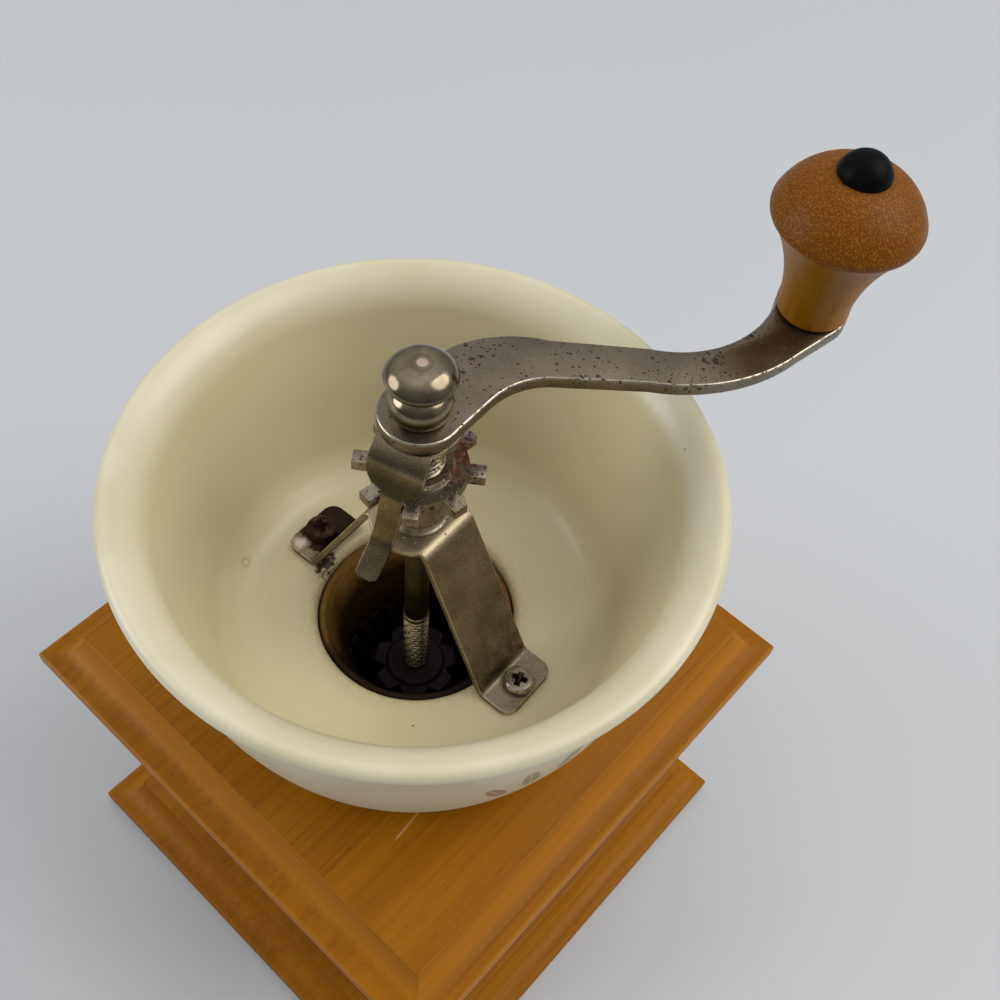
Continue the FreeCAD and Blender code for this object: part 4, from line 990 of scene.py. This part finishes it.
# The crank is blanked from 3 mm steel strip in a flat swan neck, with an eye on the shaft's square
# and another under the knob. Its plating has gone grey with fine dark pits.
crank_low, crank_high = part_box("crank_arm")
crank_turn, reach = math.radians(-26), 81
eye, end_radius, crank_thick = 8, 7.2, 3 * mm


def rim(centre, radius, start, end, steps):
    """Points on a circle round (centre, 0) from one angle in degrees to another."""
    turns = [math.radians(start + (end - start) * step / steps) for step in range(steps + 1)]
    return [(centre + radius * math.cos(turn), radius * math.sin(turn)) for turn in turns]


eye_rim, tip_rim = rim(0, eye, 112, 308, 30), rim(reach, end_radius, -72, 150, 28)
swan = [eye_rim[-1], (13.5, -1.5)]
swan += arc((13.5, -1.5), (25, -0.4), 15, left=False, steps=10)
swan += [(reach - 38.8, -7.3)]
swan += arc((reach - 38.8, -7.3), (reach - 8.2, -9.9), 36, steps=16)
swan += tip_rim
swan += arc(tip_rim[-1], (reach - 35, 0.4), 22.6, left=False, steps=22)
swan += [(28.7, 8.3)]
swan += arc((28.7, 8.3), (10.3, 12.6), 24.5, steps=12)
swan += eye_rim[:-1]
bpy.ops.mesh.primitive_circle_add(vertices=len(swan), fill_type="NGON")
crank = bpy.context.object
crank.name = "crank"
for vertex, point in zip(crank.data.vertices, swan):
    vertex.co = Vector((*point, 0)) * mm
bpy.ops.object.mode_set(mode="EDIT")
bpy.ops.mesh.select_all(action="SELECT")
bpy.ops.mesh.extrude_region_move(TRANSFORM_OT_translate={"value": (0, 0, crank_thick)})
leave_edit()
put(crank, turn=(0, 0, crank_turn), move=(0, 0, crank_low.z))
ease(crank, 0.45 * mm, limit=50)
crank_nickel = plated(
    "crank nickel", tone(112, 102, 88), tone(136, 124, 108), crowd=0.16,
    rust=(((14.8 * mm, 1.8 * mm, crank_high.z), 1.8 * mm, 0.9),
          ((36 * mm, -19.3 * mm, crank_high.z), 4.0 * mm, 0.35),
          ((48 * mm, -29.5 * mm, crank_high.z), 4.0 * mm, 0.3)))
fit(crank, crank_nickel, "drive", "nickel_plate", "crank_arm")


# The nut is two balls turned from one bar and chromed, bright but for fine turning rings and a
# small worn spot on top, with a dark band painted round each ball as painted reflection.
nut_low, nut_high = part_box("cap_nut")
nut = lathe("ball_nut", [
    (0, 9.6), (3.05, 9.2), (3.05, 0), (5.2, 0), *arc((5.2, 0), (6.0, 2.9), 6.2, steps=8),
    *arc((6.0, 2.9), (4.2, 6.0), 4.0, steps=10), (4.2, 6.9),
    *arc((4.2, 6.9), (6.75, 9.6), 3.3, steps=10), *arc((6.75, 9.6), (3.4, 12.5), 4.8, steps=12),
    *arc((3.4, 12.5), (0, 12.8), 20, steps=6)], steps=128, edge=0.1)
put(nut, move=(0, 0, nut_low.z))
chrome = Finish("nut chrome")
chrome_here = chrome.place()
chrome_out, chrome_level = chrome.radius(chrome_here), chrome.axis(chrome_here, "Z")
turned = chrome.node("CombineXYZ", {0: chrome_out, 2: chrome_level})
rings = chrome.noise(turned, 0.4 * mm, detail=2)
chrome_cloud = chrome.noise(chrome_here, 4 * mm, detail=3)
worn_through = chrome.step(chrome_out + (chrome_cloud - 0.5) * (0.8 * mm), 1.2 * mm, 0.8 * mm)
worn_through = worn_through * chrome.step(
    chrome_level, nut_high.z - 1 * mm, nut_high.z - 0.5 * mm)
nut_tone = chrome.mix(
    chrome.step(chrome_cloud, 0.35, 0.65), tone(146, 134, 112), tone(118, 107, 88))
# Painted reflection: a dark olive band is painted round each ball, standing for dark surroundings
# mirrored there.
for band in (8.6 * mm, 2.4 * mm):
    dark_reflection_band = chrome.step(abs(chrome_level - nut_low.z - band), 1.6 * mm, 0.4 * mm)
    nut_tone = chrome.mix(dark_reflection_band * 0.8, nut_tone, tone(62, 56, 40))
worn_ring = chrome.step(chrome_out, 2.3 * mm, 2.0 * mm) * chrome.step(
    chrome_out, 1.3 * mm, 1.6 * mm)
worn_ring = worn_ring * chrome.step(chrome_level, nut_high.z - 2 * mm, nut_high.z - 1 * mm)
nut_tone = chrome.mix(worn_ring * 0.35, nut_tone, tone(96, 84, 74))
chrome.surface(
    Base_Color=chrome.mix(worn_through * 0.75, nut_tone, tone(226, 196, 184)), Metallic=1.0,
    Roughness=chrome_cloud * 0.12 + rings * 0.10 + 0.06, Normal=chrome.relief(rings, 0.010 * mm))
fit(nut, chrome, "drive", "bright_chrome", "cap_nut")


# The knob is turned from one stick of hardwood and stained darker than the box; its domed head
# shows speckled end grain. It turns on a riveted axle, and a black plastic plug hides the rivet.
knob_low, knob_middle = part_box("knob_grip")[0], middle("knob_grip")
knob = lathe("knob", [
    (2.6, 0), (6.8, 0), (7.2, 0.5), (7.2, 1.2), (7.05, 3.4),
    *arc((7.05, 3.4), (13.4, 22.0), 40, left=False, steps=18),
    *arc((13.4, 22.0), (14, 24.6), 2, steps=8), *arc((14, 24.6), (4.9, 32.6), 13.4, steps=16),
    (4.6, 32.6), (4.6, 27.4), (2.6, 27.4), (2.6, 0)], steps=144, edge=0.3)
put(knob, move=(knob_middle.x, knob_middle.y, knob_low.z))
knob_wood = wood("knob wood", along_z, (0.2, knob_middle.y, knob_middle.x),
                 (knob_dark, knob_mid, knob_pale, knob_mid), roughness=0.40)
knob_here = knob_wood.place()
fine_grain = knob_wood.noise(knob_here, 0.34 * mm, stretch=(1, 1, 0.6), detail=1)
freckles = knob_wood.step(fine_grain, 0.46, 0.66)
on_head = knob_wood.step(
    knob_wood.axis(knob_here, "Z"), knob_low.z + 21.2 * mm, knob_low.z + 23.6 * mm)
head_tone = knob_wood.mix(freckles * 0.55, tone(114, 64, 6), tone(164, 108, 38))
shade_over(knob_wood, on_head, head_tone)
fit(knob, knob_wood, "knob", "knob_wood", "knob_grip")

plug = lathe("plug", [
    (0, 0), (4.5, 0), (4.5, 2.6), (4.95, 2.65), (4.95, 3.3),
    *arc((4.95, 3.3), (0, 7.0), 5.3, steps=16)], steps=96, edge=0.1)
put(plug, move=(knob_middle.x, knob_middle.y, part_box("knob_cap")[0].z))
plastic = Finish("black plastic")
plastic_here = plastic.place()
plastic_cloud = plastic.noise(plastic_here, 2.5 * mm, detail=3)
plastic.surface(
    Base_Color=plastic.mix(plastic_cloud, tone(6, 6, 6), tone(16, 16, 16)),
    Roughness=plastic_cloud * 0.15 + 0.34, Specular_IOR_Level=0.05,
    Normal=plastic.relief(plastic.noise(plastic_here, 0.25 * mm, detail=2), 0.01 * mm))
fit(plug, plastic, "knob", "black_plastic", "knob_cap")
